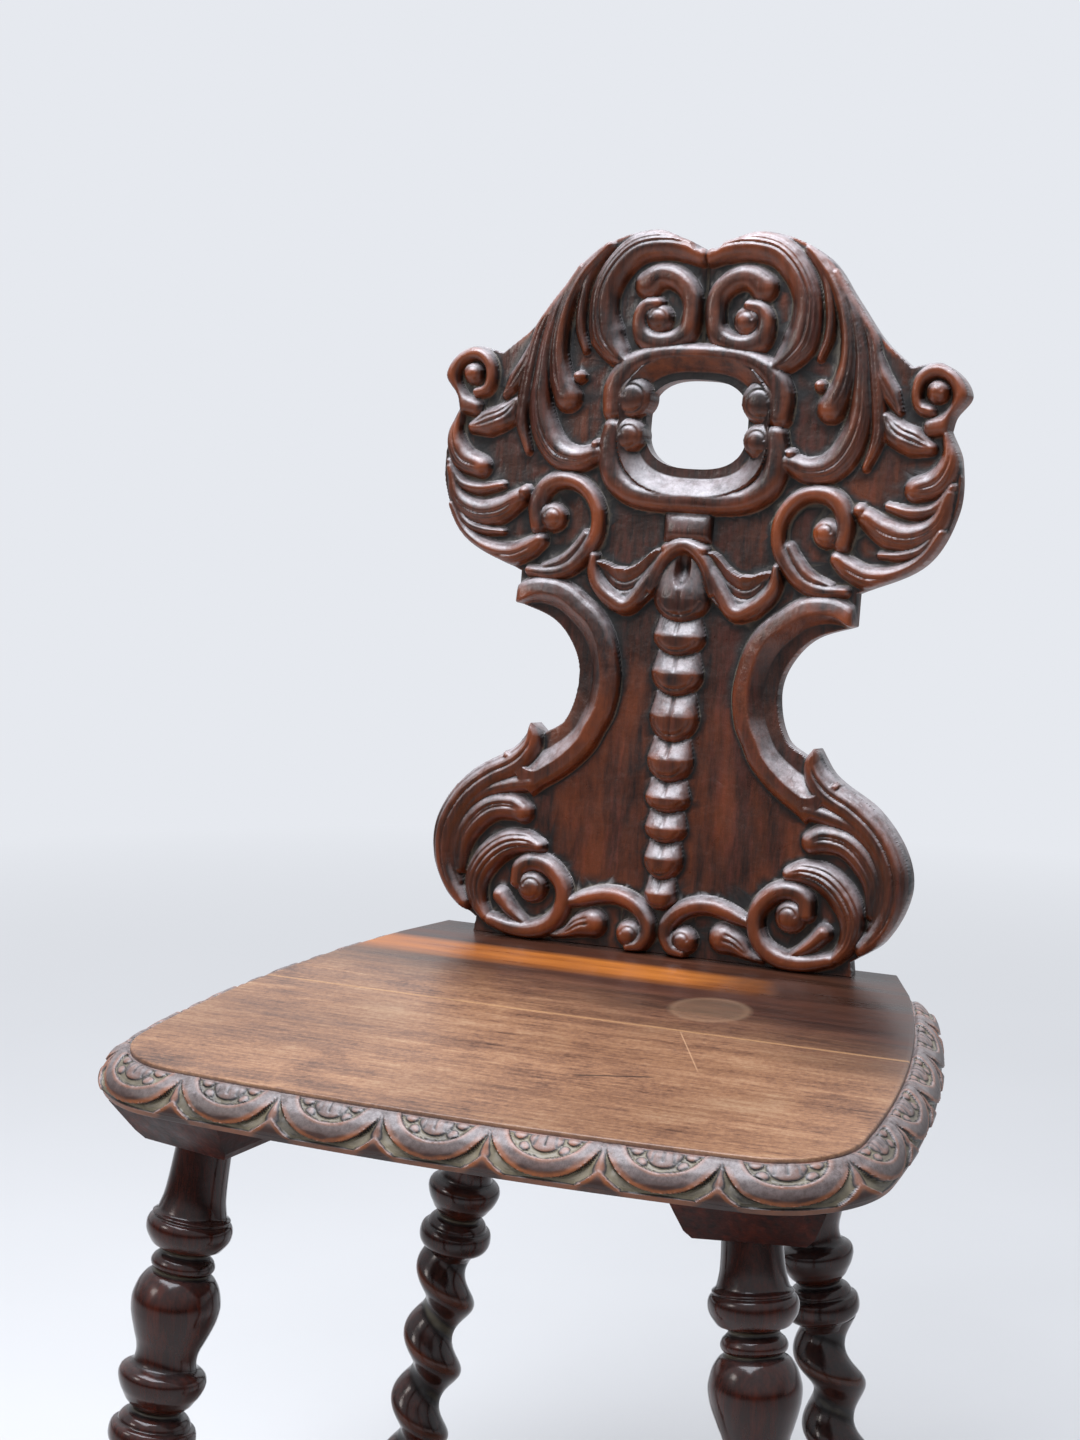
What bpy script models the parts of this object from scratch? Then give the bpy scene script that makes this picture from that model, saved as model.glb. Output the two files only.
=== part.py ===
"""Carved board chair: plank seat, pierced and carved back board, four turned and twisted legs.

Metres, +Z up, +X to the sitter's left hand as seen from the front, +Y towards the back.
The finished object stands on z = 0 with its bounding box centred on x = 0 and y = 0.
"""

import math

import bmesh
import bpy
from mathutils import Matrix, Vector

MM = 0.001

# Whole chair
SEAT_HEIGHT = 445 * MM
SEAT_THICKNESS = 24 * MM
GAP = 0.3 * MM

# Seat plan: the smooth field inside the carved edge
FIELD_HALF_WIDTH = 207 * MM
FIELD_FRONT = 330 * MM
FIELD_SIDE_RADIUS = 740 * MM
FIELD_BOW_RADIUS = 1750 * MM
FIELD_CORNER_RADIUS = 48 * MM
WIDEST_AT = 262 * MM
CARVING_START = 21 * MM
SEAT_REAR = 17 * MM
REAR_CORNER_CUT = 17 * MM
GLUE_JOINT_AT = 145 * MM

# Carved seat edge
EDGE_OVERHANG = 18 * MM
EDGE_GROOVE = 2.6 * MM
LUNETTE_PITCH = 60 * MM
LUNETTE_RADIUS = 19 * MM
GOUGE_RADIUS = 7 * MM

# Battens
BATTEN_WIDTH = 77 * MM
BATTEN_BOTTOM_WIDTH = 57 * MM
BATTEN_THICKNESS = 25 * MM
BATTEN_OVERRUN = 35 * MM
BATTEN_UNDERCUT = 18 * MM
TONGUE_WIDTH = 42 * MM
TONGUE_FLARE = 4 * MM
TONGUE_HEIGHT = 8 * MM
TONGUE_SETBACK = 12 * MM

# Legs: where their axes cross the underside of the battens, and their splay per metre down
FRONT_LEG_X = 156 * MM
FRONT_LEG_Y = -295 * MM
REAR_LEG_X = 97 * MM
REAR_LEG_Y = -24 * MM
FRONT_SPLAY = (0.112, -0.183)
REAR_SPLAY = (0.172, -0.037)
LEG_TENON_RADIUS = 12 * MM
LEG_SIDES = 12
REAR_LEG_LIFT = 17 * MM
TWIST_START = 176 * MM
TWIST_PITCH = 47 * MM
TWIST_TURNS = 3.5
TWIST_PHASE = math.radians(102)
STRAND_RADIUS = 17 * MM
STRAND_OFFSET = 5.4 * MM
STRAND_SIDES = 8
STEPS_PER_TURN = 7
WEDGE_LENGTH = 17 * MM
WEDGE_THICK_END = 2.6 * MM
WEDGE_THIN_END = 0.8 * MM

# Back board
BACK_HEIGHT = 451 * MM
BACK_WIDTH = 339 * MM
BACK_RAKE = math.radians(8.71)
GROUND_THICKNESS = 12 * MM
RELIEF_HEIGHT = 9 * MM
SUNK = 0.9 * MM
WAIST_BEVEL = 10 * MM
BACK_TENON_THICKNESS = 9 * MM
BACK_TENON_WIDTH = 38 * MM
BACK_TENON_AT = 26 * MM
BACK_TENON_BELOW = 30 * MM
KEY_WIDTH = 10 * MM
KEY_HEIGHT = 13 * MM
KEY_TAPER = 3 * MM
KEY_LENGTH = 56 * MM

# The carving is drawn in millimetres on a board of this size, x from its middle and s up from the seat.
DRAWN_HEIGHT = 450.6
DRAWN_WIDTH = 342.0

# Right half of the silhouette, from the notch at the top down to the foot: (x, s, corner)
SILHOUETTE = [
    (0, 438, True), (13, 444, True), (38, 450.6, False), (75, 437, False), (97, 410, False),
    (115, 387, False), (134, 371, True), (154, 373.5, False), (170.5, 357, False), (162, 342, False),
    (160, 334, True), (168, 316, False), (168, 285, False), (151, 253, False), (111, 233, True),
    (111, 213, True), (85, 203, False), (70, 185, False), (66, 166, False), (73, 141, False),
    (87, 131, True), (94, 137.5, True), (106, 121, False), (135, 102, False), (154, 77, False),
    (158, 53, False), (145, 24, False), (125, 9, True), (127.7, -6, True),
]

# Rounded edge moulding of the waist, along the opening
WAIST_EDGE = [(116, 214), (85, 203), (70, 185), (66, 166), (73, 141), (86, 131.4)]
WAIST_MOULDING = [(112, 232), (92, 226), (67, 209), (52, 188), (47, 166), (53, 143), (68, 119), (95, 98)]

# Carved strands: centre-line points with the half width there, (x, s, half width)
STRANDS = {
    "ring_upper": [(53, 351, 6), (47, 366, 6), (24, 374, 6), (-8, 376, 6)],
    "ring_lower": [(55, 312, 6), (48, 291, 7), (24, 283, 7.5), (-8, 282, 7.5)],
    "crest_scroll": [(3, 437, 4), (24, 441, 9), (47, 439, 9), (64, 420, 8.5), (67, 395, 9), (60, 374, 9), (46, 366, 3)],
    "inner_scroll": [(38, 418, 6), (26, 425, 6), (10, 410, 5.5), (12, 387, 5.5), (30, 380, 5), (43, 391, 4)],
    "leaf_1": [(62, 438, 4), (84, 410, 6), (93, 380, 6.5), (87, 357, 7), (81, 338, 3)],
    "leaf_2": [(80, 427, 4), (101, 395, 6), (105, 360, 6.5), (95, 327, 8), (76, 310, 8), (60, 313, 4)],
    "leaf_3": [(98, 411, 4), (115, 382, 5), (118, 355, 6), (106, 309, 3)],
    "leaf_4": [(117, 379, 4), (125, 360, 6), (128, 343, 4)],
    "ear": [(160, 337, 4), (168, 350, 5), (159, 369, 5), (143, 365, 5), (142, 350, 5), (153, 346, 4)],
    "ear_leaf": [(121, 341, 4), (135, 328, 8), (154, 328, 4)],
    "side_leaf_1": [(161, 334, 4), (159, 314, 7), (138, 299, 3)],
    "side_leaf_2": [(163, 305, 5), (153, 287, 6), (128, 289, 3)],
    "side_leaf_3": [(163, 287, 5), (147, 267, 7), (121, 270, 6), (107, 283, 4)],
    "side_leaf_4": [(158, 268, 4), (139, 250, 6), (115, 246, 6), (99, 258, 4)],
    "lobe_scroll": [
        (101, 277, 5), (94, 290, 5), (74, 289, 5.5), (63, 268, 6), (72, 247, 6), (97, 238, 6), (125, 245, 4),
    ],
    "shell": [(6, 250, 6), (26, 239, 9), (45, 228, 11), (64, 245, 4)],
    "foot_leaf_1": [(95, 134, 3), (108, 113, 8), (138, 92, 9), (150, 60, 8), (140, 32, 7), (126, 17, 5)],
    "foot_leaf_2": [(98, 105, 4), (124, 91, 6), (139, 68, 5), (137, 49, 4)],
    "foot_leaf_3": [(98, 84, 6), (119, 84, 7), (134, 66, 5)],
    "foot_leaf_4": [(84, 62, 5), (106, 67, 8), (126, 52, 7), (121, 20, 5)],
    "foot_scroll": [
        (119, 31, 5), (107, 13, 5.5), (84, 10, 6), (69, 26, 6), (76, 46, 6), (99, 44, 4),
    ],
    "base_scroll": [(58, 28, 3), (38, 34, 5), (14, 29, 5), (8, 13, 5), (17, 6, 4)],
    "base_leaf": [(42, 23, 4), (50, 13, 7), (66, 8, 3)],
}

# Round ends and eyes of the scrolls: (x, s, radius)
KNOBS = [
    (43, 346, 11), (44, 323, 10), (32, 398, 8), (79, 357, 4), (155, 356, 7),
    (92, 268, 9), (91, 34, 9), (20, 13, 8),
]

# Bellflowers down the middle: (bottom, top, half width)
HUSKS = [
    (208, 253, 20), (187, 206, 17), (162, 186, 17), (133, 161, 16), (108, 132, 15.5),
    (87, 107, 15), (70, 86, 14), (47, 69, 13), (28, 46, 11),
]
RING_BLOCK = (15, 258, 276)
HAND_HOLE_BACK = (34, 303, 358.5)
HAND_HOLE_FRONT = (46, 290, 368)

# Turning of a leg, from the batten down: (distance, radius) in millimetres
TURNING_TOP = [
    (-14, 15.2), (12, 15.7), (32, 16.8), (39, 19), (42, 22.5), (48, 24.1), (54, 23), (59, 19.8), (60, 15.4),
    (62.5, 12.8), (66, 16.5), (69, 18), (73, 14.8), (76, 18.8), (82, 22.8), (91, 24.9), (100, 23.5), (111, 19.5),
    (121, 16.8), (126, 17.8), (130, 23.8), (135, 24.7), (141, 22.5), (147, 18.4), (151, 13.6), (154, 17.8),
    (159.5, 20.4), (161, 23.8), (166, 24.6), (171, 23.4), (176, 16), (181, 13),
]
TURNING_FOOT = [
    (336, 13), (345, 16), (351, 16), (354, 23), (365, 23), (370, 15), (374, 15), (379, 19), (390, 21.5),
    (418, 17), (445, 15.5),
]


def clear_scene():
    """Remove whatever the start-up file holds."""
    for old in list(bpy.data.objects):
        bpy.data.objects.remove(old, do_unlink=True)


def new_collection(name):
    """Return a new collection linked to the scene."""
    made = bpy.data.collections.new(name)
    bpy.context.scene.collection.children.link(made)
    return made


def wood(name, colour, roughness):
    """Return a waxed wood material."""
    made = bpy.data.materials.new(name)
    made.use_nodes = True
    shader = made.node_tree.nodes["Principled BSDF"]
    shader.inputs["Base Color"].default_value = (*colour, 1.0)
    shader.inputs["Roughness"].default_value = roughness
    shader.inputs["Metallic"].default_value = 0.0
    made.diffuse_color = (*colour, 1.0)
    return made


def as_mesh(obj, name, matrix=None):
    """Return a plain mesh object with everything on obj applied, in place of obj."""
    bpy.context.view_layer.update()
    evaluated = obj.evaluated_get(bpy.context.evaluated_depsgraph_get())
    mesh = bpy.data.meshes.new_from_object(evaluated)
    mesh.transform(obj.matrix_world)
    if matrix is not None:
        mesh.transform(matrix)
    bpy.data.objects.remove(obj, do_unlink=True)
    made = bpy.data.objects.new(name, mesh)
    bpy.context.scene.collection.objects.link(made)
    return made


def tidy(obj):
    """Join loose caps, close the ends and turn every face outwards."""
    work = bmesh.new()
    work.from_mesh(obj.data)
    bmesh.ops.remove_doubles(work, verts=work.verts, dist=0.005 * MM)
    bmesh.ops.holes_fill(work, edges=work.edges)
    bmesh.ops.recalc_face_normals(work, faces=work.faces)
    work.to_mesh(obj.data)
    work.free()
    return obj


def combine(base, others, operation):
    """Return base with the other solids added or cut away; the others are used up."""
    name = base.name
    for other in others:
        step = base.modifiers.new(operation.lower(), "BOOLEAN")
        step.solver = "EXACT"
        step.operation = operation
        step.object = other
        base = as_mesh(base, name)
        bpy.data.objects.remove(other, do_unlink=True)
    base.name = name
    return base


def copy_of(obj, name):
    """Return a free copy of a mesh object."""
    made = bpy.data.objects.new(name, obj.data.copy())
    bpy.context.scene.collection.objects.link(made)
    return made


def box(name, low, high):
    """Return a box between two corners."""
    bpy.ops.mesh.primitive_cube_add(size=1)
    made = bpy.context.active_object
    low, high = Vector(low), Vector(high)
    made.location = (low + high) / 2
    made.scale = high - low
    return as_mesh(made, name)


def curve_object(name, points, closed=False, corners=None, resolution=3):
    """Return a flat curve through the points; corners marks the sharp ones."""
    curve = bpy.data.curves.new(name, "CURVE")
    curve.dimensions = "2D"
    curve.resolution_u = resolution
    curve.render_resolution_u = 0
    spline = curve.splines.new("BEZIER")
    spline.bezier_points.add(len(points) - 1)
    for index, (knot, point) in enumerate(zip(spline.bezier_points, points)):
        sharp = corners is not None and corners[index]
        knot.co = (point[0], point[1], 0.0)
        knot.radius = point[2] if len(point) > 2 else 1.0
        knot.handle_left_type = knot.handle_right_type = "VECTOR" if sharp else "AUTO"
    spline.use_cyclic_u = closed
    made = bpy.data.objects.new(name, curve)
    bpy.context.scene.collection.objects.link(made)
    return made


def slab(name, points, low, high, corners=None, resolution=3):
    """Return a plate with this outline between two heights."""
    made = curve_object(name, points, True, corners, resolution)
    made.data.fill_mode = "BOTH"
    made.data.extrude = (high - low) / 2
    made.location.z = (high + low) / 2
    return tidy(as_mesh(made, name))


def swept(name, path, section, resolution=3):
    """Return a bar of the given section (across, up) along a flat path."""
    outline = bpy.data.curves.new(name + "_section", "CURVE")
    outline.dimensions = "2D"
    spline = outline.splines.new("POLY")
    spline.points.add(len(section) - 1)
    for knot, (across, up) in zip(spline.points, section):
        knot.co = (across, up, 0.0, 1.0)
    spline.use_cyclic_u = True
    profile = bpy.data.objects.new(name + "_section", outline)
    bpy.context.scene.collection.objects.link(profile)
    made = curve_object(name, path, False, None, resolution)
    made.data.bevel_mode = "OBJECT"
    made.data.bevel_object = profile
    made.data.use_fill_caps = True
    made = tidy(as_mesh(made, name))
    bpy.data.objects.remove(profile, do_unlink=True)
    return made


# Seat


def arc(centre, radius, start, end, count):
    """Return points on an arc, angles in radians."""
    return [
        (
            centre[0] + radius * math.cos(start + (end - start) * step / count),
            centre[1] + radius * math.sin(start + (end - start) * step / count),
        )
        for step in range(count + 1)
    ]


def field_edge():
    """Return the right half of the field's edge, from the middle of the front to the start of the carving."""
    bow = Vector((0.0, FIELD_BOW_RADIUS - FIELD_FRONT))
    side = Vector((FIELD_HALF_WIDTH - FIELD_SIDE_RADIUS, -WIDEST_AT))
    # The corner's centre keeps its own radius from the bow and from the side.
    to_bow = FIELD_BOW_RADIUS - FIELD_CORNER_RADIUS
    to_side = FIELD_SIDE_RADIUS - FIELD_CORNER_RADIUS
    apart = (side - bow).length
    along = (apart**2 + to_bow**2 - to_side**2) / (2 * apart)
    away = math.sqrt(to_bow**2 - along**2)
    line = (side - bow) / apart
    corner = bow + line * along + Vector((-line.y, line.x)) * away
    if corner.x < 0:
        corner = bow + line * along - Vector((-line.y, line.x)) * away
    to_front = corner - bow
    to_right = corner - side
    bow_end = math.atan2(to_front.y, to_front.x)
    side_start = math.atan2(to_right.y, to_right.x)
    side_end = math.asin((WIDEST_AT - CARVING_START) / FIELD_SIDE_RADIUS)
    points = arc(bow, FIELD_BOW_RADIUS, -math.pi / 2, bow_end, 4)
    points += arc(corner, FIELD_CORNER_RADIUS, bow_end, side_start, 7)[1:]
    points += arc(side, FIELD_SIDE_RADIUS, side_start, side_end, 7)[1:]
    return points


def mirrored(points):
    """Return the whole line from the left end to the right end, given its right half from the middle."""
    return [(-x, y) for x, y in reversed(points)] + points[1:]


def along_line(points, distance):
    """Return the place and the direction at a distance along a line."""
    for start, end in zip(points, points[1:]):
        start, end = Vector(start), Vector(end)
        length = (end - start).length
        if distance <= length:
            return start + (end - start) * (distance / length), (end - start).normalized()
        distance -= length
    return None


def flattened_ball(name, radius, height, sides, rings):
    """Return a ball squashed to this half height."""
    bpy.ops.mesh.primitive_uv_sphere_add(segments=sides, ring_count=rings, radius=radius)
    made = bpy.context.active_object
    made.scale.z = height / radius
    return as_mesh(made, name)


def edge_cutters(edge):
    """Return the round-arched panels and the gouge cuts between them, right half and middle."""
    top = SEAT_HEIGHT
    tilt = math.radians(42)
    middle = EDGE_OVERHANG * 0.56
    cutters = []
    count = 0
    while True:
        found = along_line(edge, count * LUNETTE_PITCH / 2)
        if found is None:
            return cutters
        place, direction = found
        outward = Vector((direction.y, -direction.x, 0.0))
        # The local z axis of a cutter stands square to the rounded edge.
        up = outward * math.sin(tilt) + Vector((0.0, 0.0, math.cos(tilt)))
        side = Vector((direction.x, direction.y, 0.0))
        frame = Matrix((side, up.cross(side), up)).transposed().to_4x4()
        if count % 2 == 0:
            size, height, reach, drop = LUNETTE_RADIUS, 3 * MM, middle * 0.62, 3.2 * MM
            stretch = 0.62
        else:
            size, height, reach, drop = GOUGE_RADIUS, 3.4 * MM, middle * 1.25, 7.5 * MM
            stretch = 1.35
        cutter = flattened_ball("edge_cutter", size, height, 8, 4)
        frame.translation = Vector((place.x, place.y, top - drop)) + outward * reach
        cutter.data.transform(frame @ Matrix.Diagonal((1.0, stretch, 1.0, 1.0)))
        cutters.append(cutter)
        count += 1


def whole_seat():
    """Return the seat as one plate with its carved edge."""
    edge = field_edge()
    last = edge[-1]
    rear = [(last[0] - REAR_CORNER_CUT, SEAT_REAR)]
    outline = mirrored(edge + rear)
    low = SEAT_HEIGHT - SEAT_THICKNESS
    seat = slab("seat", outline, low, SEAT_HEIGHT, [True] * len(outline))
    over = EDGE_OVERHANG
    foot = low + 0.5 * MM
    # Heights of the edge moulding, from the groove round the field over the rounded nose to the fillet
    groove = SEAT_HEIGHT - EDGE_GROOVE
    section = [
        (-4 * MM, foot), (-4 * MM, groove), (0.6 * MM, groove), (0.15 * over, groove + 1.4 * MM),
        (0.5 * over, groove - 1.6 * MM), (0.8 * over, groove - 7 * MM), (0.97 * over, groove - 13 * MM),
        (over, groove - 17.5 * MM), (0.9 * over, groove - 18 * MM), (0.86 * over, foot),
    ]
    # The band stops just short of the plain rear corner; it runs left to right, its outside on the right.
    path = mirrored(edge[:-1] + [tuple(Vector(edge[-2]).lerp(Vector(last), 0.94))])
    band = bpy.data.meshes.new("band")
    work = bmesh.new()
    rings = []
    for index, point in enumerate(path):
        before = Vector(path[max(index - 1, 0)])
        after = Vector(path[min(index + 1, len(path) - 1)])
        direction = (after - before).normalized()
        outward = Vector((direction.y, -direction.x))
        rings.append(
            [work.verts.new((*(Vector(point) + outward * across), up)) for across, up in section]
        )
    for ring, following in zip(rings, rings[1:]):
        for index in range(len(section)):
            other = (index + 1) % len(section)
            work.faces.new((ring[index], ring[other], following[other], following[index]))
    work.faces.new(rings[0])
    work.faces.new(rings[-1])
    bmesh.ops.recalc_face_normals(work, faces=work.faces)
    work.to_mesh(band)
    work.free()
    moulding = bpy.data.objects.new("band", band)
    bpy.context.scene.collection.objects.link(moulding)
    cutters = edge_cutters(edge)
    for cutter in list(cutters[1:]):
        twin = copy_of(cutter, "edge_cutter")
        twin.data.transform(Matrix.Scale(-1, 4, (1, 0, 0)))
        twin.data.flip_normals()
        cutters.append(twin)
    moulding = combine(moulding, cutters, "DIFFERENCE")
    return combine(seat, [moulding], "UNION")


# Battens


def batten_line(side):
    """Return the batten's start under the front leg and its direction to the rear leg, in plan."""
    front = Vector((side * FRONT_LEG_X, FRONT_LEG_Y, 0.0))
    rear = Vector((side * REAR_LEG_X, REAR_LEG_Y, 0.0))
    return front, rear


def bar_along(name, front, rear, before, after, section):
    """Return a straight bar of the given section (across, up) that overruns two points."""
    outline = slab(name, section, -after - (rear - front).length, before, [True] * len(section))
    ahead = (front - rear).normalized()
    across = Vector((0, 0, 1)).cross(ahead)
    frame = Matrix((across, Vector((0, 0, 1)), ahead)).transposed().to_4x4()
    if frame.determinant() < 0:
        frame = Matrix((-across, Vector((0, 0, 1)), ahead)).transposed().to_4x4()
    frame.translation = front
    outline.data.transform(frame)
    return outline


def tongue(name, side, spare):
    """Return the dovetailed tongue on a batten, or its groove when spare is the clearance."""
    front, rear = batten_line(side)
    low = SEAT_HEIGHT - SEAT_THICKNESS - GAP
    half = TONGUE_WIDTH / 2 + spare
    high = low + TONGUE_HEIGHT + spare
    section = [(-half, low - 2 * MM), (half, low - 2 * MM), (half, low), (half + TONGUE_FLARE, high)]
    section += [(-half - TONGUE_FLARE, high), (-half, low)]
    reach = BATTEN_OVERRUN + (SEAT_REAR * 2 if spare else 0.0)
    return bar_along(name, front, rear, BATTEN_OVERRUN - TONGUE_SETBACK + spare, reach, section)


def batten(name, side):
    """Return one batten with its tongue, its undercut front end and the two sockets for the legs."""
    front, rear = batten_line(side)
    high = SEAT_HEIGHT - SEAT_THICKNESS - GAP
    low = high + GAP - BATTEN_THICKNESS
    half, bottom = BATTEN_WIDTH / 2, BATTEN_BOTTOM_WIDTH / 2
    section = [
        (-half, high), (-half + 2 * MM, high - 7 * MM), (-bottom - 4 * MM, low + 5 * MM), (-bottom, low),
        (bottom, low), (bottom + 4 * MM, low + 5 * MM), (half - 2 * MM, high - 7 * MM), (half, high),
    ]
    made = bar_along(name, front, rear, BATTEN_OVERRUN, BATTEN_OVERRUN, section)
    ahead = (front - rear).normalized()
    for vertex in made.data.vertices:
        if (vertex.co - front).dot(ahead) > 0:
            vertex.co -= ahead * BATTEN_UNDERCUT * (high - vertex.co.z) / BATTEN_THICKNESS
    made = combine(made, [tongue("tongue", side, 0.0)], "UNION")
    sockets = []
    for place, splay in ((front, FRONT_SPLAY), (rear, REAR_SPLAY)):
        socket = upright_cylinder("socket", LEG_TENON_RADIUS + GAP, -60 * MM, 60 * MM, LEG_SIDES)
        socket.data.transform(leg_frame(place, side, splay))
        sockets.append(socket)
    return combine(made, sockets, "DIFFERENCE")


# Legs


def leg_frame(place, side, splay):
    """Return the frame of a leg: origin where its axis meets the batten, local z up along it."""
    down = Vector((side * splay[0], splay[1], -1.0)).normalized()
    up = -down
    across = Vector((1, 0, 0)) - up * up.x
    across.normalize()
    frame = Matrix((across, up.cross(across), up)).transposed().to_4x4()
    frame.translation = Vector((place.x, place.y, SEAT_HEIGHT - SEAT_THICKNESS - BATTEN_THICKNESS))
    return frame


def upright_cylinder(name, radius, low, high, sides):
    """Return a round bar on the z axis."""
    bpy.ops.mesh.primitive_cylinder_add(vertices=sides, radius=radius, depth=high - low)
    made = bpy.context.active_object
    made.location.z = (low + high) / 2
    return as_mesh(made, name)


def turned(name, profile):
    """Return a lathe-turned piece from (distance down, radius) points."""
    mesh = bpy.data.meshes.new(name)
    points = [(radius * MM, 0.0, -distance * MM) for distance, radius in profile]
    points = [(0.0, 0.0, points[0][2])] + points + [(0.0, 0.0, points[-1][2])]
    mesh.from_pydata(points, [(index, index + 1) for index in range(len(points) - 1)], [])
    made = bpy.data.objects.new(name, mesh)
    bpy.context.scene.collection.objects.link(made)
    turn = made.modifiers.new("turn", "SCREW")
    turn.axis = "Z"
    turn.steps = turn.render_steps = LEG_SIDES
    turn.use_merge_vertices = True
    turn.merge_threshold = 0.01 * MM
    return tidy(as_mesh(made, name))


def barley_twist(name):
    """Return the twisted shaft: a round strand set off the axis and screwed down it."""
    aside = Vector((math.cos(TWIST_PHASE), math.sin(TWIST_PHASE))) * STRAND_OFFSET
    bpy.ops.mesh.primitive_circle_add(
        vertices=STRAND_SIDES, radius=STRAND_RADIUS, location=(aside.x, aside.y, -TWIST_START)
    )
    made = as_mesh(bpy.context.active_object, name)
    screw = made.modifiers.new("twist", "SCREW")
    screw.axis = "Z"
    screw.angle = 2 * math.pi * TWIST_TURNS
    screw.screw_offset = -TWIST_PITCH * TWIST_TURNS
    screw.steps = screw.render_steps = int(STEPS_PER_TURN * TWIST_TURNS)
    screw.use_merge_vertices = False
    return tidy(as_mesh(made, name))


def leg_wedge(name, spare):
    """Return the wedge in the top of a leg's tenon, or its slot when spare is the clearance."""
    top = BATTEN_THICKNESS + TONGUE_HEIGHT
    reach = LEG_TENON_RADIUS - 2 * MM + spare
    made = box(name, (-WEDGE_THICK_END / 2, -reach, top - WEDGE_LENGTH), (WEDGE_THICK_END / 2, reach, top + 5 * MM))
    for vertex in made.data.vertices:
        if vertex.co.z < top - WEDGE_LENGTH / 2:
            vertex.co.x *= WEDGE_THIN_END / WEDGE_THICK_END
            vertex.co.z -= spare
        vertex.co.x += math.copysign(spare, vertex.co.x)
    return made


def leg(name, side, place, splay, lift):
    """Return a leg, its turning lifted along its axis, and its wedge, level with the batten's tongue."""
    place = Vector((side * place[0], place[1], 0.0))
    frame = leg_frame(place, side, splay)
    under = SEAT_HEIGHT - SEAT_THICKNESS - BATTEN_THICKNESS - GAP
    tenon_top = SEAT_HEIGHT - SEAT_THICKNESS - GAP + TONGUE_HEIGHT
    near = 80 * MM
    made = combine(turned(name, TURNING_TOP), [barley_twist("strand"), turned("foot", TURNING_FOOT)], "UNION")
    made.data.transform(frame @ Matrix.Translation((0.0, 0.0, lift)))
    above = box("above", place - Vector((near, near, -under)), place + Vector((near, near, under + near)))
    reach = SEAT_HEIGHT
    floor = box("floor", (-reach, -reach - near, -near), (reach, reach, 0.0))
    made = combine(made, [above, floor], "DIFFERENCE")
    tenon = upright_cylinder("tenon", LEG_TENON_RADIUS, -9 * MM, near, LEG_SIDES)
    tenon = combine(tenon, [leg_wedge("slot", GAP)], "DIFFERENCE")
    tenon.data.transform(frame)
    wedge = leg_wedge(name.replace("leg", "leg_wedge"), 0.0)
    wedge.data.transform(frame)
    top = box("top", place - Vector((near, near, -tenon_top)), place + Vector((near, near, tenon_top + near)))
    wedge = combine(wedge, [copy_of(top, "top_copy")], "DIFFERENCE")
    tenon = combine(tenon, [top], "DIFFERENCE")
    return combine(made, [tenon], "UNION"), wedge


# Back board


def drawn(x, s, *rest):
    """Turn a place on the drawing of the carving into metres on the board."""
    wide = BACK_WIDTH / DRAWN_WIDTH
    return (x * wide, s * BACK_HEIGHT / DRAWN_HEIGHT, *[value * wide for value in rest])


def board_frame(base=0.0):
    """Return the frame of the raked board: local x right, y up the board, z to the front."""
    frame = Matrix.Rotation(math.pi / 2 - BACK_RAKE, 4, "X")
    frame.translation = Vector((0.0, base, SEAT_HEIGHT))
    return frame


def strand(name, points):
    """Return one carved strand: a bevelled curve, half sunk in the ground and as high as it is wide."""
    made = curve_object(name, [drawn(*point) for point in points], resolution=2)
    made.data.bevel_depth = 1.0
    made.data.bevel_resolution = 1
    made.data.use_fill_caps = True
    widest = max(point[2] for point in points) * MM
    scale = Matrix.Diagonal((1.0, 1.0, min(RELIEF_HEIGHT / widest, 1.35), 1.0))
    return tidy(as_mesh(made, name, Matrix.Translation((0.0, 0.0, -SUNK)) @ scale))


def superellipse(half_width, low, high, count):
    """Return a rounded hand-hole outline."""
    power = 2 / 2.7
    middle, half_height = (low + high) / 2, (high - low) / 2
    points = []
    for step in range(count):
        angle = 2 * math.pi * (step + 0.5) / count
        x = math.copysign(abs(math.cos(angle)) ** power, math.cos(angle)) * half_width
        s = math.copysign(abs(math.sin(angle)) ** power, math.sin(angle)) * half_height
        points.append(drawn(x, middle + s))
    return points


def hand_hole():
    """Return the cutter of the hand hole, wider at the front than at the back."""
    count = 20
    back, front = GROUND_THICKNESS, RELIEF_HEIGHT
    narrow = superellipse(*HAND_HOLE_BACK, count)
    made = slab("hand_hole", narrow, -back - 4 * MM, front + 2 * MM, [True] * count)
    (_, low, high), (_, front_low, front_high) = HAND_HOLE_BACK, HAND_HOLE_FRONT
    spread = HAND_HOLE_FRONT[0] / HAND_HOLE_BACK[0]
    rise = (front_high - front_low) / (high - low)
    old_middle = drawn(0, (low + high) / 2)[1]
    new_middle = drawn(0, (front_low + front_high) / 2)[1]
    for vertex in made.data.vertices:
        if vertex.co.z > 0:
            vertex.co.x *= spread
            vertex.co.y = new_middle + (vertex.co.y - old_middle) * rise
    return made


def back_tenon(side, spare):
    """Return one flat through tenon of the board, or its slot when spare is the clearance."""
    half = BACK_TENON_WIDTH / 2 + spare
    thick = BACK_TENON_THICKNESS / 2 + spare
    middle = -GROUND_THICKNESS / 2
    centre = side * BACK_TENON_AT
    length = (SEAT_THICKNESS + BACK_TENON_BELOW) / math.cos(BACK_RAKE)
    made = box("tenon", (centre - half, -length - spare, middle - thick), (centre + half, 8 * MM, middle + thick))
    made.data.transform(board_frame())
    return made


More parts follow.
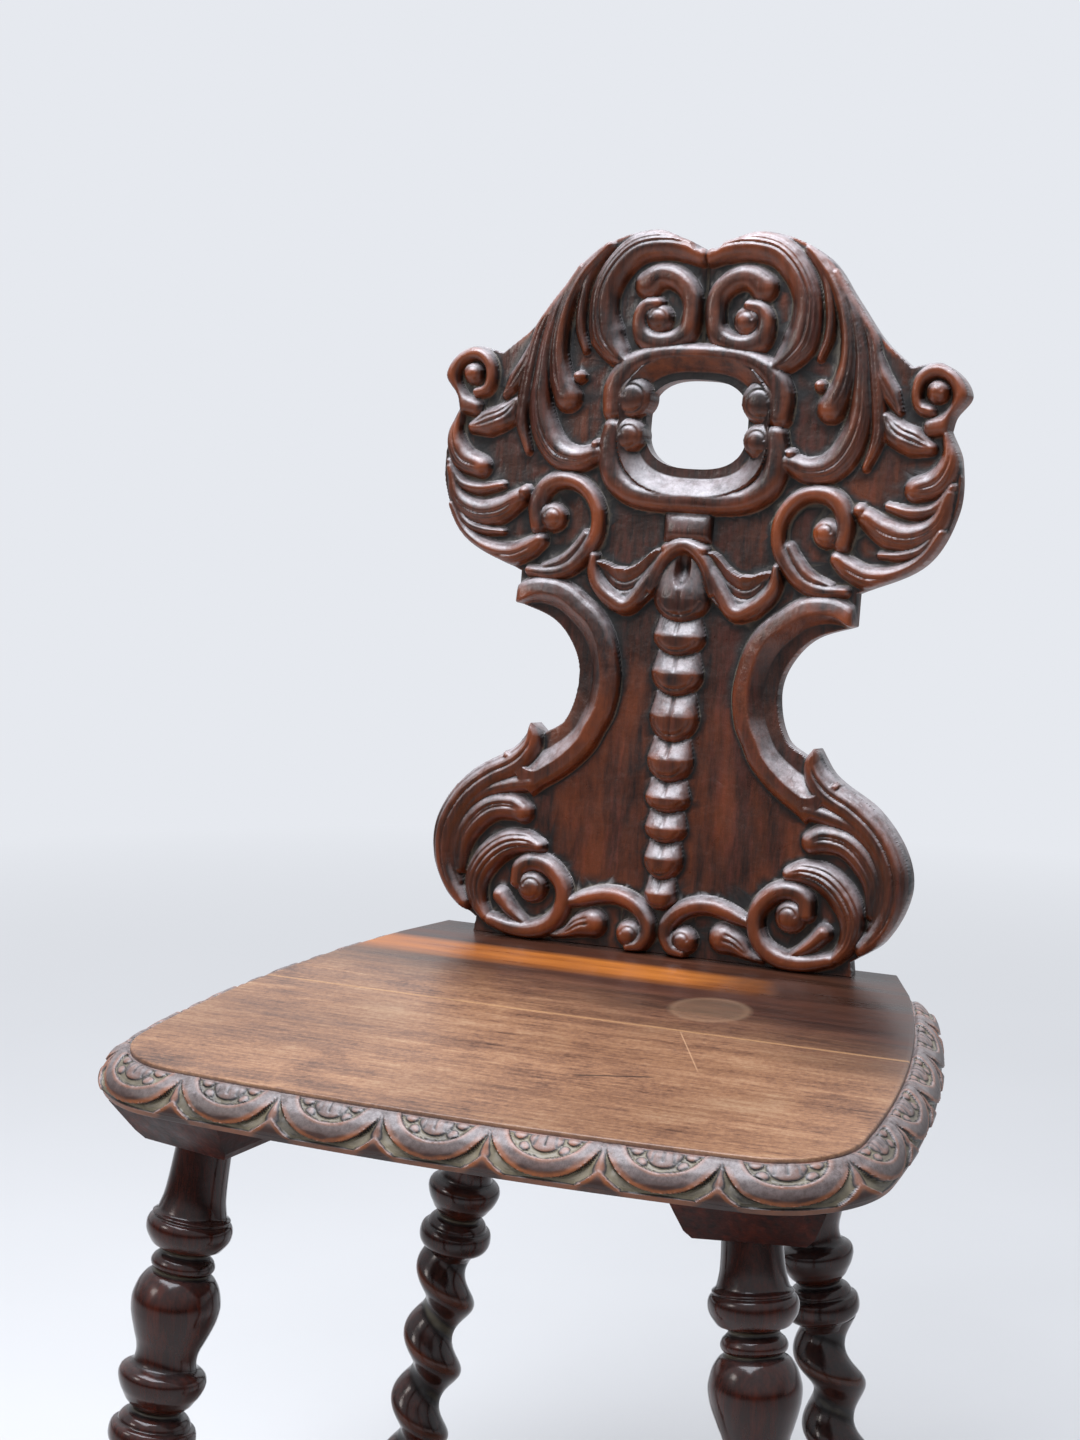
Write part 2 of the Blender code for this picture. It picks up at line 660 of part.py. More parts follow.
def key(name, side, spare):
    """Return the key through a back tenon, or its slot when spare is the clearance."""
    top = SEAT_HEIGHT - SEAT_THICKNESS - GAP
    centre = side * BACK_TENON_AT
    half = KEY_WIDTH / 2 + spare
    rear = SEAT_REAR - 2 * MM
    high = top + (1.5 * MM if spare else 0.0)
    made = box(name, (centre - half, rear - KEY_LENGTH, top - KEY_HEIGHT - spare), (centre + half, rear, high))
    for vertex in made.data.vertices:
        if vertex.co.z < top - KEY_HEIGHT / 2 and vertex.co.y < rear - KEY_LENGTH / 2:
            vertex.co.z += KEY_TAPER
    return made


def back_board(name):
    """Return the carved board, modelled on its right half and mirrored."""
    points = [drawn(x, s) for x, s, _ in SILHOUETTE]
    corners = [corner for _, _, corner in SILHOUETTE]
    past = drawn(-6, 0)[0]
    points += [(past, points[-1][1]), (past, points[0][1])]
    half = slab(name, points, -GROUND_THICKNESS, 0.0, corners + [True, True], 2)
    additions = [strand(label, path) for label, path in STRANDS.items()]
    for x, s, radius in KNOBS:
        across, up, size = drawn(x, s, radius)
        knob = flattened_ball("knob", size, RELIEF_HEIGHT, 8, 5)
        knob.data.transform(Matrix.Translation((across, up, -SUNK / 2)))
        additions.append(knob)
    for low, high, width in HUSKS:
        across, up, size = drawn(0, (low + high) / 2, width)
        husk = flattened_ball("husk", size, RELIEF_HEIGHT, 8, 5)
        husk.data.transform(Matrix.Diagonal((1.0, (high - low) / (2 * width), 1.0, 1.0)))
        husk.data.transform(Matrix.Translation((0.0, up, -SUNK / 2)))
        additions.append(husk)
    wide, low, high = drawn(*RING_BLOCK)[0], drawn(0, RING_BLOCK[1])[1], drawn(0, RING_BLOCK[2])[1]
    additions.append(box("block", (-wide, low, -2 * MM), (wide, high, RELIEF_HEIGHT * 0.7)))
    rise = RELIEF_HEIGHT
    section = [
        (-10 * MM, -3 * MM), (-10 * MM, 0.55 * rise), (-7 * MM, 0.85 * rise), (0.0, rise),
        (11 * MM, rise), (11 * MM, -3 * MM),
    ]
    moulding = [drawn(*point) for point in WAIST_MOULDING]
    additions.append(swept("waist_moulding", moulding, section, 2))
    half = combine(half, additions, "UNION")
    reach = 12 * MM
    bevel = [
        (-WAIST_BEVEL, rise + 0.02 * MM), (0.0, -GROUND_THICKNESS + 2 * MM), (reach, -GROUND_THICKNESS + 2 * MM),
        (reach, rise + reach), (-WAIST_BEVEL, rise + reach),
    ]
    opening = swept("waist_bevel", [drawn(*point) for point in WAIST_EDGE], bevel, 3)
    half = combine(half, [opening, hand_hole()], "DIFFERENCE")
    mirror = half.modifiers.new("mirror", "MIRROR")
    mirror.use_bisect_axis[0] = True
    mirror.merge_threshold = 0.01 * MM
    whole = tidy(as_mesh(half, name, board_frame()))
    under = box("under", (-BACK_WIDTH, -BACK_WIDTH, 0.0), (BACK_WIDTH, BACK_WIDTH, SEAT_HEIGHT + GAP))
    whole = combine(whole, [under], "DIFFERENCE")
    tenons = []
    for side in (-1, 1):
        tenons.append(combine(back_tenon(side, 0.0), [key("key_slot", side, GAP)], "DIFFERENCE"))
    return combine(whole, tenons, "UNION")


def without_slivers(part):
    """Return the part with its hair-thin leftover faces closed up."""
    work = bmesh.new()
    work.from_mesh(part.data)
    bmesh.ops.triangulate(work, faces=work.faces)
    bmesh.ops.dissolve_degenerate(work, dist=0.004 * MM, edges=work.edges)
    bmesh.ops.remove_doubles(work, verts=work.verts, dist=0.002 * MM)
    bmesh.ops.triangulate(work, faces=work.faces)
    work.to_mesh(part.data)
    work.free()
    return part


def centre_on_floor(parts):
    """Move the parts so that the bounding box is centred in x and y."""
    corners = [vertex.co for part in parts for vertex in part.data.vertices]
    shift = [-(min(c[axis] for c in corners) + max(c[axis] for c in corners)) / 2 for axis in (0, 1)]
    for part in parts:
        part.data.transform(Matrix.Translation((*shift, 0.0)))


def main():
    clear_scene()
    chair = new_collection("carved_board_chair")
    carved = wood("dark_waxed_walnut", (0.055, 0.027, 0.018), 0.38)
    worn = wood("worn_seat_walnut", (0.16, 0.085, 0.045), 0.42)
    turned_wood = wood("polished_leg_walnut", (0.045, 0.017, 0.011), 0.25)
    plain = wood("raw_batten_walnut", (0.09, 0.045, 0.028), 0.55)
    pegs = wood("pale_wedge_wood", (0.23, 0.15, 0.085), 0.6)

    parts = []
    seat = whole_seat()
    reach = 2 * BACK_WIDTH
    behind = box("behind", (-reach, -GLUE_JOINT_AT - GAP / 2, 0.0), (reach, reach, 2 * SEAT_HEIGHT))
    before = box("before", (-reach, -reach, 0.0), (reach, -GLUE_JOINT_AT + GAP / 2, 2 * SEAT_HEIGHT))
    rear_board = copy_of(seat, "seat_rear_board")
    seat.name = "seat_front_board"
    grooves = [tongue("groove", side, GAP) for side in (-1, 1)]
    front_board = combine(seat, [behind] + [copy_of(cut, "groove_copy") for cut in grooves], "DIFFERENCE")
    slots = [back_tenon(side, GAP) for side in (-1, 1)]
    rear_board = combine(rear_board, [before] + grooves + slots, "DIFFERENCE")
    parts += [(front_board, worn), (rear_board, worn)]

    parts.append((back_board("back_board"), carved))
    for side, hand in ((-1, "left"), (1, "right")):
        parts.append((batten("batten_" + hand, side), plain))
        parts.append((key("back_key_" + hand, side, 0.0), pegs))
        for end, place, splay, lift in (
            ("front", (FRONT_LEG_X, FRONT_LEG_Y), FRONT_SPLAY, 0.0),
            ("rear", (REAR_LEG_X, REAR_LEG_Y), REAR_SPLAY, REAR_LEG_LIFT),
        ):
            made, wedge = leg("leg_" + end + "_" + hand, side, place, splay, lift)
            parts += [(made, turned_wood), (wedge, pegs)]

    centre_on_floor([without_slivers(part) for part, _ in parts])
    for part, finish in parts:
        part.data.materials.clear()
        part.data.materials.append(finish)
        bpy.context.scene.collection.objects.unlink(part)
        chair.objects.link(part)


main()
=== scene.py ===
"""Visual model of a carved board chair: a carved back, a plank seat with a lunette edge, turned legs.

Drawing units are millimetres; `MM` turns them to metres. The row frame has its origin on the floor
under the middle of the chair, +X to the right seen from the front, +Y to the back and +Z up.
"""

import logging
import math
from collections.abc import Iterator
from contextlib import contextmanager
from dataclasses import dataclass
from enum import Enum

import bmesh
import bpy
import numpy as np
from mathutils import Matrix, Vector

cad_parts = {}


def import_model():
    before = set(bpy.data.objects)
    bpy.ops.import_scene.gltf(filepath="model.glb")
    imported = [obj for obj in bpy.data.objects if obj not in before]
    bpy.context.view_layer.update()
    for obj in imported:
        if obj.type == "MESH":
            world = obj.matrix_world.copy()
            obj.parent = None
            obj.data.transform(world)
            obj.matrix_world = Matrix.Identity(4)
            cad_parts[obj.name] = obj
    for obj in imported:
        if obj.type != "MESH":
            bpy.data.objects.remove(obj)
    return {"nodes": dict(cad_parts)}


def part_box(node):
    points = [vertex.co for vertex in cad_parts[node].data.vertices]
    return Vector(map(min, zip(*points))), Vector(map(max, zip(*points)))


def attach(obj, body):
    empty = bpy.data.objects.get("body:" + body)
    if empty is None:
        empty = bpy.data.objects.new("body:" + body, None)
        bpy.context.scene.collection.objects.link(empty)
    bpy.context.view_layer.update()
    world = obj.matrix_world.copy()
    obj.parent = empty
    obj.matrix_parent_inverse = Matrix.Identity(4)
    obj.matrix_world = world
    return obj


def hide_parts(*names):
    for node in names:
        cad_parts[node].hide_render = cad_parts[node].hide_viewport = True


LOG = logging.getLogger("carved_chair")
MM = 0.001
ROOT = "root"

# The seat's top, the plank and the back board's rake are those of the solid model.
SEAT_TOP = 445.0
SEAT_THICK = 24.0
SHIFT_Y = 153.1
RAKE = math.radians(8.71)
GAP = 0.3
SIDES = {"left": -1, "right": 1}
# How strongly wax bends light
WAX_IOR = 1.47

Point = tuple[float, float, float]
Knots = tuple[tuple[float, float], ...]
Socket = bpy.types.NodeSocket


# Small helpers


def linear(hex_colour: str) -> tuple[float, float, float, float]:
    """Turn an sRGB hex colour into a linear colour.

    Args:
        hex_colour: Six hex digits.

    Returns:
        Linear red, green and blue, and an alpha of one.
    """
    values = []
    for start in (0, 2, 4):
        value = int(hex_colour[start:start + 2], 16) / 255.0
        values.append(value / 12.92 if value <= 0.04045 else ((value + 0.055) / 1.055) ** 2.4)
    return (*values, 1.0)


def new_object(name: str, mesh: bpy.types.Mesh | None = None) -> bpy.types.Object:
    """Link a mesh into the scene as an object at the origin.

    Args:
        name: The piece's name.
        mesh: Its mesh, placed in metres, or None for an empty one.

    Returns:
        The new object.
    """
    made = bpy.data.objects.new(name, mesh or bpy.data.meshes.new(name))
    bpy.context.scene.collection.objects.link(made)
    return made


def mesh_of(name: str, points: np.ndarray, faces: np.ndarray) -> bpy.types.Mesh:
    """Make a triangle mesh from arrays.

    Args:
        name: The mesh's name.
        points: Vertex places, one row each.
        faces: Vertex numbers, three in a row.

    Returns:
        The mesh.
    """
    mesh = bpy.data.meshes.new(name)
    mesh.vertices.add(len(points))
    mesh.vertices.foreach_set("co", points.astype(np.float32).ravel())
    mesh.loops.add(faces.size)
    mesh.loops.foreach_set("vertex_index", faces.astype(np.int32).ravel())
    mesh.polygons.add(len(faces))
    mesh.polygons.foreach_set("loop_start", np.arange(0, faces.size, 3, dtype=np.int32))
    mesh.update(calc_edges=True)
    mesh.validate()
    return mesh


def applied(made: bpy.types.Object) -> bpy.types.Mesh:
    """Evaluate an object's modifiers into its mesh and take the modifiers off.

    Args:
        made: The object with live modifiers.

    Returns:
        The new mesh, already set on the object.
    """
    graph = bpy.context.evaluated_depsgraph_get()
    mesh = bpy.data.meshes.new_from_object(made.evaluated_get(graph))
    made.modifiers.clear()
    old = made.data
    made.data = mesh
    if old.users == 0:
        bpy.data.meshes.remove(old)
    return mesh


@contextmanager
def edited(mesh: bpy.types.Mesh) -> Iterator[bmesh.types.BMesh]:
    """Open a mesh for editing and write it back in the end.

    Args:
        mesh: The mesh, changed in place.

    Yields:
        Its editable form.
    """
    work = bmesh.new()
    work.from_mesh(mesh)
    yield work
    work.to_mesh(mesh)
    work.free()


def open_edges(parts: list) -> list[bmesh.types.BMEdge]:
    """Return those of the parts that are edges with a face on one side only."""
    return [part for part in parts if isinstance(part, bmesh.types.BMEdge) and part.is_boundary]


def fill(work: bmesh.types.BMesh, edges: list[bmesh.types.BMEdge], normal: Point | Vector) -> None:
    """Close a loop of edges with triangles that face a way."""
    bmesh.ops.triangle_fill(work, use_beauty=True, use_dissolve=False, edges=edges, normal=normal)


def sliced(work: bmesh.types.BMesh, place: Point | Vector, normal: Point | Vector, near: float,
           outer: bool = True) -> list[bmesh.types.BMEdge]:
    """Cut a mesh along a plane and take one side away.

    Args:
        work: The mesh.
        place: A point of the plane.
        normal: The plane's normal.
        near: Distance within which a vertex counts as on the plane.
        outer: Whether the side goes that the normal points to.

    Returns:
        The open edges along the cut.
    """
    cut = bmesh.ops.bisect_plane(work, geom=work.verts[:] + work.edges[:] + work.faces[:], dist=near,
                                 plane_co=place, plane_no=normal, clear_outer=outer, clear_inner=not outer)
    return open_edges(cut["geom_cut"])


def split_quads(*corners: np.ndarray) -> np.ndarray:
    """Return two triangles for each quad, from the four corners of all quads in order."""
    a, b, c, d = (corner.ravel() for corner in corners)
    return np.vstack([np.stack([a, b, c], 1), np.stack([a, c, d], 1)])


def vertices_of(mesh: bpy.types.Mesh) -> np.ndarray:
    """Read a mesh's vertex places.

    Args:
        mesh: The mesh.

    Returns:
        The places, one row each.
    """
    points = np.empty(len(mesh.vertices) * 3, dtype=np.float32)
    mesh.vertices.foreach_get("co", points)
    return points.reshape(-1, 3).astype(np.float64)


def put_attribute(mesh: bpy.types.Mesh, name: str, values: np.ndarray) -> None:
    """Store one number for each vertex under a name that the finishes read."""
    layer = mesh.attributes.get(name) or mesh.attributes.new(name, "FLOAT", "POINT")
    layer.data.foreach_set("value", values.astype(np.float32))


def smooth_shade(mesh: bpy.types.Mesh, degrees: float) -> None:
    """Shade a mesh smooth, with edges sharper than an angle kept crisp."""
    mesh.shade_smooth()
    mesh.set_sharp_from_angle(angle=math.radians(degrees))


def cut_with(made: bpy.types.Object, cutters: list[bpy.types.Object]) -> None:
    """Take cutters out of a piece and remove them.

    Args:
        made: The piece, a closed mesh.
        cutters: Closed meshes to take away.
    """
    for cutter in cutters:
        cut = made.modifiers.new("cut", "BOOLEAN")
        cut.operation = "DIFFERENCE"
        cut.solver = "MANIFOLD"
        cut.object = cutter
        applied(made)
        bpy.data.objects.remove(cutter, do_unlink=True)


def box_object(low: Point, high: Point) -> bpy.types.Object:
    """Make a closed box, in the caller's own units.

    Args:
        low: Lowest corner.
        high: Highest corner.

    Returns:
        The box.
    """
    made = new_object("box")
    with edited(made.data) as work:
        bmesh.ops.create_cube(work, size=1.0)
        for vertex in work.verts:
            vertex.co = Vector(high[i] if vertex.co[i] > 0 else low[i] for i in range(3))
    return made


def slot_for(box: tuple, above: float) -> bpy.types.Object:
    """Make the cutter of a slot that a key or wedge fills.

    Args:
        box: Lowest and highest corner of the key or wedge, in metres.
        above: How far the slot passes above it.

    Returns:
        The cutter.
    """
    low, high = box
    pad = GAP * MM
    return box_object((low[0] - pad, low[1] - pad, low[2] - pad),
                      (high[0] + pad, high[1] + pad, high[2] + above))


def join(made: bpy.types.Object, other: bpy.types.Object) -> None:
    """Put another object's mesh into a piece, and remove the other object.

    Args:
        made: The piece that stays.
        other: The object that goes.
    """
    with edited(made.data) as work:
        work.from_mesh(other.data)
    bpy.data.objects.remove(other, do_unlink=True)


def catmull(points: np.ndarray, corners: list[bool], step: float) -> tuple[np.ndarray, np.ndarray]:
    """Sample a smooth line through points, broken at its corners.

    Args:
        points: The points, one row each, with any number of columns.
        corners: Whether the line turns sharply at each point.
        step: Distance between samples, in the points' units.

    Returns:
        The samples, and the unit direction at each of them in the first two columns.
    """
    slopes = np.zeros_like(points)
    slopes[1:-1] = (points[2:] - points[:-2]) / 2
    slopes[0] = points[1] - points[0]
    slopes[-1] = points[-1] - points[-2]
    rows, ways = [], []
    last = len(points) - 2
    for i in range(last + 1):
        here, there = points[i], points[i + 1]
        chord = there - here
        length = float(np.hypot(chord[0], chord[1]))
        pulls = []
        for k in (i, i + 1):
            pull = chord if corners[k] else slopes[k]
            pull = pull * (length / max(np.hypot(*pull[:2]), 1e-9))
            pull[2:] = chord[2:]
            pulls.append(pull)
        start, end = pulls
        steps = max(2, int(math.ceil(length / step)))
        for k in range(steps + int(i == last)):
            t = k / steps
            rows.append(
                here * (2 * t**3 - 3 * t**2 + 1) + start * (t**3 - 2 * t**2 + t)
                + there * (-2 * t**3 + 3 * t**2) + end * (t**3 - t**2)
            )
            way = (
                here * (6 * t**2 - 6 * t) + start * (3 * t**2 - 4 * t + 1)
                + there * (-6 * t**2 + 6 * t) + end * (3 * t**2 - 2 * t)
            )[:2]
            ways.append(way / max(float(np.hypot(*way)), 1e-9))
    return np.array(rows), np.array(ways)


def ripple(x: np.ndarray, y: np.ndarray, wavelength: float, seed: int) -> np.ndarray:
    """Return soft seeded waviness between about minus one and one.

    Args:
        x: First coordinate, in millimetres.
        y: Second coordinate, in millimetres.
        wavelength: Rough size of a bump, in millimetres.
        seed: Seed of the pattern.

    Returns:
        The waviness at each place.
    """
    waves = 9
    dice = np.random.default_rng(seed)
    total = np.zeros(np.broadcast(x, y).shape)
    for _ in range(waves):
        turn, phase = dice.uniform(0, 2 * math.pi, 2)
        rate = 2 * math.pi / (wavelength * dice.uniform(0.6, 1.7))
        total += np.sin((x * math.cos(turn) + y * math.sin(turn)) * rate + phase)
    return total / (waves / 2)


def blurred(values: np.ndarray, sigma: float) -> np.ndarray:
    """Blur a raster softly.

    Args:
        values: The raster.
        sigma: Spread of the blur, in nodes.

    Returns:
        The blurred raster.
    """
    reach = max(1, int(math.ceil(sigma * 2.6)))
    taps = np.exp(-0.5 * (np.arange(-reach, reach + 1) / sigma) ** 2)
    taps /= taps.sum()
    padded = np.pad(values, reach, mode="edge")
    rows = sum(tap * padded[k:k + values.shape[0], :] for k, tap in enumerate(taps))
    return sum(tap * rows[:, k:k + values.shape[1]] for k, tap in enumerate(taps))


# Finishes


class Graph:
    """A node tree, with a short way to add each kind of node that the finishes share."""

    def __init__(self, tree: bpy.types.NodeTree) -> None:
        """Empty the tree, to add to it from now on."""
        tree.nodes.clear()
        self.tree = tree

    def put(self, kind: str, links: dict | None = None, **settings: object) -> bpy.types.Node:
        """Add a node with its settings and links.

        Args:
            kind: The node's type name.
            links: Input name or number to a value, or to an output socket that feeds it.
            settings: Properties of the node itself.

        Returns:
            The node.
        """
        node = self.tree.nodes.new(kind)
        for name, value in settings.items():
            setattr(node, name, value)
        for name, value in (links or {}).items():
            if isinstance(value, Socket):
                self.tree.links.new(value, node.inputs[name])
            else:
                node.inputs[name].default_value = value
        return node

    def out(self, kind: str, links: dict | None = None, **settings: object) -> Socket:
        """Add a node as `put` does, and return its first output."""
        return self.put(kind, links, **settings).outputs[0]

    def math(self, way: str, *values: Socket | float) -> Socket:
        """Join numbers by a Math node's operation."""
        return self.out("ShaderNodeMath", dict(enumerate(values)), operation=way)

    def vector(self, way: str, *values: Socket | Point) -> Socket:
        """Join vectors by a Vector Math node's operation."""
        node = self.put("ShaderNodeVectorMath", dict(enumerate(values)), operation=way)
        return node.outputs["Value" if way == "LENGTH" else "Vector"]

    def axes(self, vector: Socket) -> tuple[Socket, ...]:
        """Return the three numbers of a vector."""
        return tuple(self.put("ShaderNodeSeparateXYZ", {0: vector}).outputs)

    def place(self) -> Socket:
        """Return the object coordinates, in metres."""
        return self.put("ShaderNodeTexCoord").outputs["Object"]

    def upward(self) -> Socket:
        """Return how far the surface looks up, from minus one to one."""
        return self.axes(self.put("ShaderNodeNewGeometry").outputs["Normal"])[2]

    def attribute(self, name: str) -> Socket:
        """Return a number that is stored on the mesh."""
        return self.put("ShaderNodeAttribute", attribute_name=name).outputs["Fac"]

    def noise(self, place: Socket, scale: float, detail: float, rough: float = 0.5) -> Socket:
        """Add a noise pattern.

        Args:
            place: Coordinates, in metres.
            scale: Its bumps per metre.
            detail: Number of finer layers.
            rough: Strength of each layer beside the coarser one.

        Returns:
            Its value.
        """
        given = {"Vector": place, "Scale": scale, "Detail": detail, "Roughness": rough}
        return self.put("ShaderNodeTexNoise", given).outputs["Fac"]

    def grained(self, place: Socket, squeeze: Point, scale: float, sway: Point) -> tuple[Socket, Socket]:
        """Squeeze coordinates along the grain and bend them, so that the grain wanders.

        Args:
            place: Coordinates, in metres.
            squeeze: Scale along each axis.
            scale: Bends per metre.
            sway: How far the grain wanders, in metres.

        Returns:
            The squeezed coordinates, and the same bent.
        """
        squeezed = self.out("ShaderNodeMapping", {"Vector": place, "Scale": squeeze})
        bends = self.noise(squeezed, scale, 3.0).node.outputs["Color"]
        return squeezed, self.vector("ADD", squeezed, self.vector("MULTIPLY", bends, sway))

    def spread(self, value: Socket, low: float, high: float, out_low: float = 0.0,
               out_high: float = 1.0) -> Socket:
        """Stretch a value from one range to another, clamped.

        Args:
            value: The value.
            low: Value that gives the first result.
            high: Value that gives the second result.
            out_low: First result.
            out_high: Second result.

        Returns:
            The stretched value.
        """
        given = {0: value, 1: low, 2: high, 3: out_low, 4: out_high}
        return self.out("ShaderNodeMapRange", given, clamp=True)

    def ramp(self, value: Socket, stops: tuple[tuple[float, str], ...]) -> Socket:
        """Colour a value through stops.

        Args:
            value: The value, nought to one.
            stops: Position and sRGB hex colour of each stop.

        Returns:
            The colour.
        """
        node = self.put("ShaderNodeValToRGB", {0: value})
        band = node.color_ramp
        while len(band.elements) < len(stops):
            band.elements.new(0.5)
        for element, (position, colour) in zip(band.elements, stops):
            element.position = position
            element.color = linear(colour)
        return node.outputs[0]

    def mix(self, amount: Socket, under: Socket, over: Socket | str, way: str = "MIX") -> Socket:
        """Lay a colour over another.

        Args:
            amount: Share of the upper colour.
            under: Lower colour.
            over: Upper colour, a socket or sRGB hex digits.
            way: Blend type.

        Returns:
            The mixed colour.
        """
        over = linear(over) if isinstance(over, str) else over
        given = {0: amount, 6: under, 7: over}
        return self.put("ShaderNodeMix", given, data_type="RGBA", blend_type=way).outputs[2]

    def bump(self, height: Socket, distance: float, strength: float) -> Socket:
        """Return the normal of a surface with bumps, their height in metres."""
        return self.out("ShaderNodeBump", {"Height": height, "Distance": distance, "Strength": strength})

    def waxed(self, inputs: dict[str, Socket | float]) -> None:
        """Add the shader of a waxed surface with its inputs, and send it out."""
        shader = self.out("ShaderNodeBsdfPrincipled", {"IOR": WAX_IOR} | inputs)
        self.put("ShaderNodeOutputMaterial", {"Surface": shader})


def new_material(name: str) -> tuple[bpy.types.Material, Graph]:
    """Start a new material.

    Args:
        name: Its name.

    Returns:
        The material and its empty graph.
    """
    material = bpy.data.materials.new(name)
    material.use_nodes = True
    return material, Graph(material.node_tree)


class GrainAxis(Enum):
    """The direction in which a piece's grain runs, as the squeeze of the coordinates."""

    DEPTH = (1.0, 0.07, 1.0)
    UPRIGHT = (1.0, 1.0, 0.07)


@dataclass(frozen=True)
class WaxedWood:
    """Old wood, stained and waxed by hand, worn where it is touched.

    Attributes:
        name: The finish's common name.
        axis: Grain direction.
        dark: Colour of the stain in the grain's dark lines.
        body: Main colour.
        light: Colour between the dark lines.
        worn_and_underside_warmth: Colour of the rubbed edges, where the stain is gone, and of the painted
            warm light on the undersides.
        dust: Colour of the dust and old wax in the hollows.
        grain: Width of one grain line, in millimetres.
        roughness: Roughness of the waxed surface.
        coat: How much polish lies over it.
        coat_roughness: Roughness of the polish.
        tool_marks: Height of the carver's or turner's marks, in millimetres.
        wear: How strongly the edges are rubbed.
        dirt_and_shade: How strongly the hollows are darkened with painted shade and dirt and filled with
            dust.
        streaks: Amount of rust-red streaks along the grain.
        dust_and_sheen: Amount of pale dust and painted sheen on the faces that look up, and of painted warm
            light on the undersides.
        sheen: How much of the room the bare wood mirrors.
        shade_and_dirt_colour: Colour of the painted shade and dirt that darken the hollows.
        dust_and_sheen_colour: Colour of the pale dust and painted sheen.
    """

    name: str
    axis: GrainAxis
    dark: str
    body: str
    light: str
    worn_and_underside_warmth: str
    dust: str
    grain: float = 1.4
    roughness: float = 0.36
    coat: float = 0.25
    coat_roughness: float = 0.16
    tool_marks: float = 0.12
    wear: float = 1.0
    dirt_and_shade: float = 1.0
    streaks: float = 0.0
    dust_and_sheen: float = 0.0
    sheen: float = 0.42
    shade_and_dirt_colour: str = "231a18"
    dust_and_sheen_colour: str = "b4adae"

    def make(self) -> bpy.types.Material:
        """Build the material.

        Returns:
            The material.
        """
        material, graph = new_material(self.name)
        place = graph.place()
        colour, lines = self.stained(graph, place)
        ridge, recess = graph.attribute("ridge"), graph.attribute("recess")
        patches = graph.noise(place, 15.0, 7.0, 0.66)
        rubbed = graph.spread(graph.math("MULTIPLY", ridge, patches), 0.24, 0.66, 0.0, 0.8 * self.wear)
        colour = graph.mix(rubbed, colour, self.worn_and_underside_warmth)
        hollow = graph.math("MULTIPLY", recess, patches)
        # Painted shade, with some dirt, darkens the hollows.
        shade_and_dirt = graph.spread(recess, 0.04, 0.6, 0.0, 0.9 * self.dirt_and_shade)
        colour = graph.mix(shade_and_dirt, colour, self.shade_and_dirt_colour, "MULTIPLY")
        dusty = graph.spread(hollow, 0.38, 0.62, 0.0, 0.4 * self.dirt_and_shade)
        colour = graph.mix(dusty, colour, self.dust)
        polish = graph.noise(place, 55.0, 4.0)
        rough = graph.spread(polish, 0.3, 0.7, self.roughness - 0.07, self.roughness + 0.1)
        marks = graph.math("MULTIPLY", graph.noise(place, 160.0, 3.0, 0.55), 1.2)
        normal = graph.bump(graph.math("ADD", marks, lines), self.tool_marks * MM * 3.0, 0.55)
        graph.waxed({
            "Base Color": self.dusted_and_sheened(graph, place, colour),
            "Roughness": graph.math("ADD", rough, graph.spread(hollow, 0.1, 0.5, 0.0, 0.35)),
            "Specular IOR Level": self.sheen, "Coat Weight": self.coat,
            "Coat Roughness": self.coat_roughness, "Normal": normal, "Coat Normal": normal})
        return material

    def dusted_and_sheened(self, graph: Graph, place: Socket, colour: Socket) -> Socket:
        """Lay pale dust and a painted sheen on the faces that look up, and painted warm light on the
        undersides.

        Args:
            graph: The material's nodes.
            place: Object coordinates.
            colour: The colour so far.

        Returns:
            The colour with the dust, the painted sheen and the painted warm light.
        """
        upward = graph.upward()
        patchy = graph.spread(graph.noise(place, 90.0, 8.0, 0.74), 0.36, 0.62, 0.25, 1.0)
        # Pale dust and a painted sheen on the faces that look up.
        amount = graph.math("MULTIPLY", graph.spread(upward, 0.26, 0.78, 0.0, self.dust_and_sheen), patchy)
        # Painted warm light on the undersides, tinted towards the rubbed edges' orange-brown.
        painted_underside_warmth = graph.math("MULTIPLY", graph.spread(upward, 0.02, -0.5, 0.0, self.dust_and_sheen * 0.7), patchy)
        return graph.mix(amount, graph.mix(painted_underside_warmth, colour, self.worn_and_underside_warmth), self.dust_and_sheen_colour)

    def stained(self, graph: Graph, place: Socket) -> tuple[Socket, Socket]:
        """Lay the stained grain.

        Args:
            graph: The material's nodes.
            place: Object coordinates.

        Returns:
            The colour and the grain lines' value.
        """
        rate = 1.0 / (self.grain * MM)
        squeezed, bent = graph.grained(place, self.axis.value, 22.0, (0.006, 0.006, 0.006))
        lines = graph.noise(bent, rate * 0.5, 5.0, 0.66)
        broad = graph.noise(bent, rate * 0.09, 3.0)
        both = graph.math("ADD", graph.math("MULTIPLY", lines, 0.6), graph.math("MULTIPLY", broad, 0.4))
        colour = graph.ramp(both, ((0.38, self.dark), (0.5, self.body), (0.62, self.light)))
        if self.streaks:
            runs = graph.math("MULTIPLY", graph.noise(squeezed, 75.0, 6.0, 0.6), graph.noise(place, 9.0, 3.0))
            colour = graph.mix(graph.spread(runs, 0.24, 0.4, 0.0, self.streaks), colour, self.worn_and_underside_warmth)
        return colour, lines


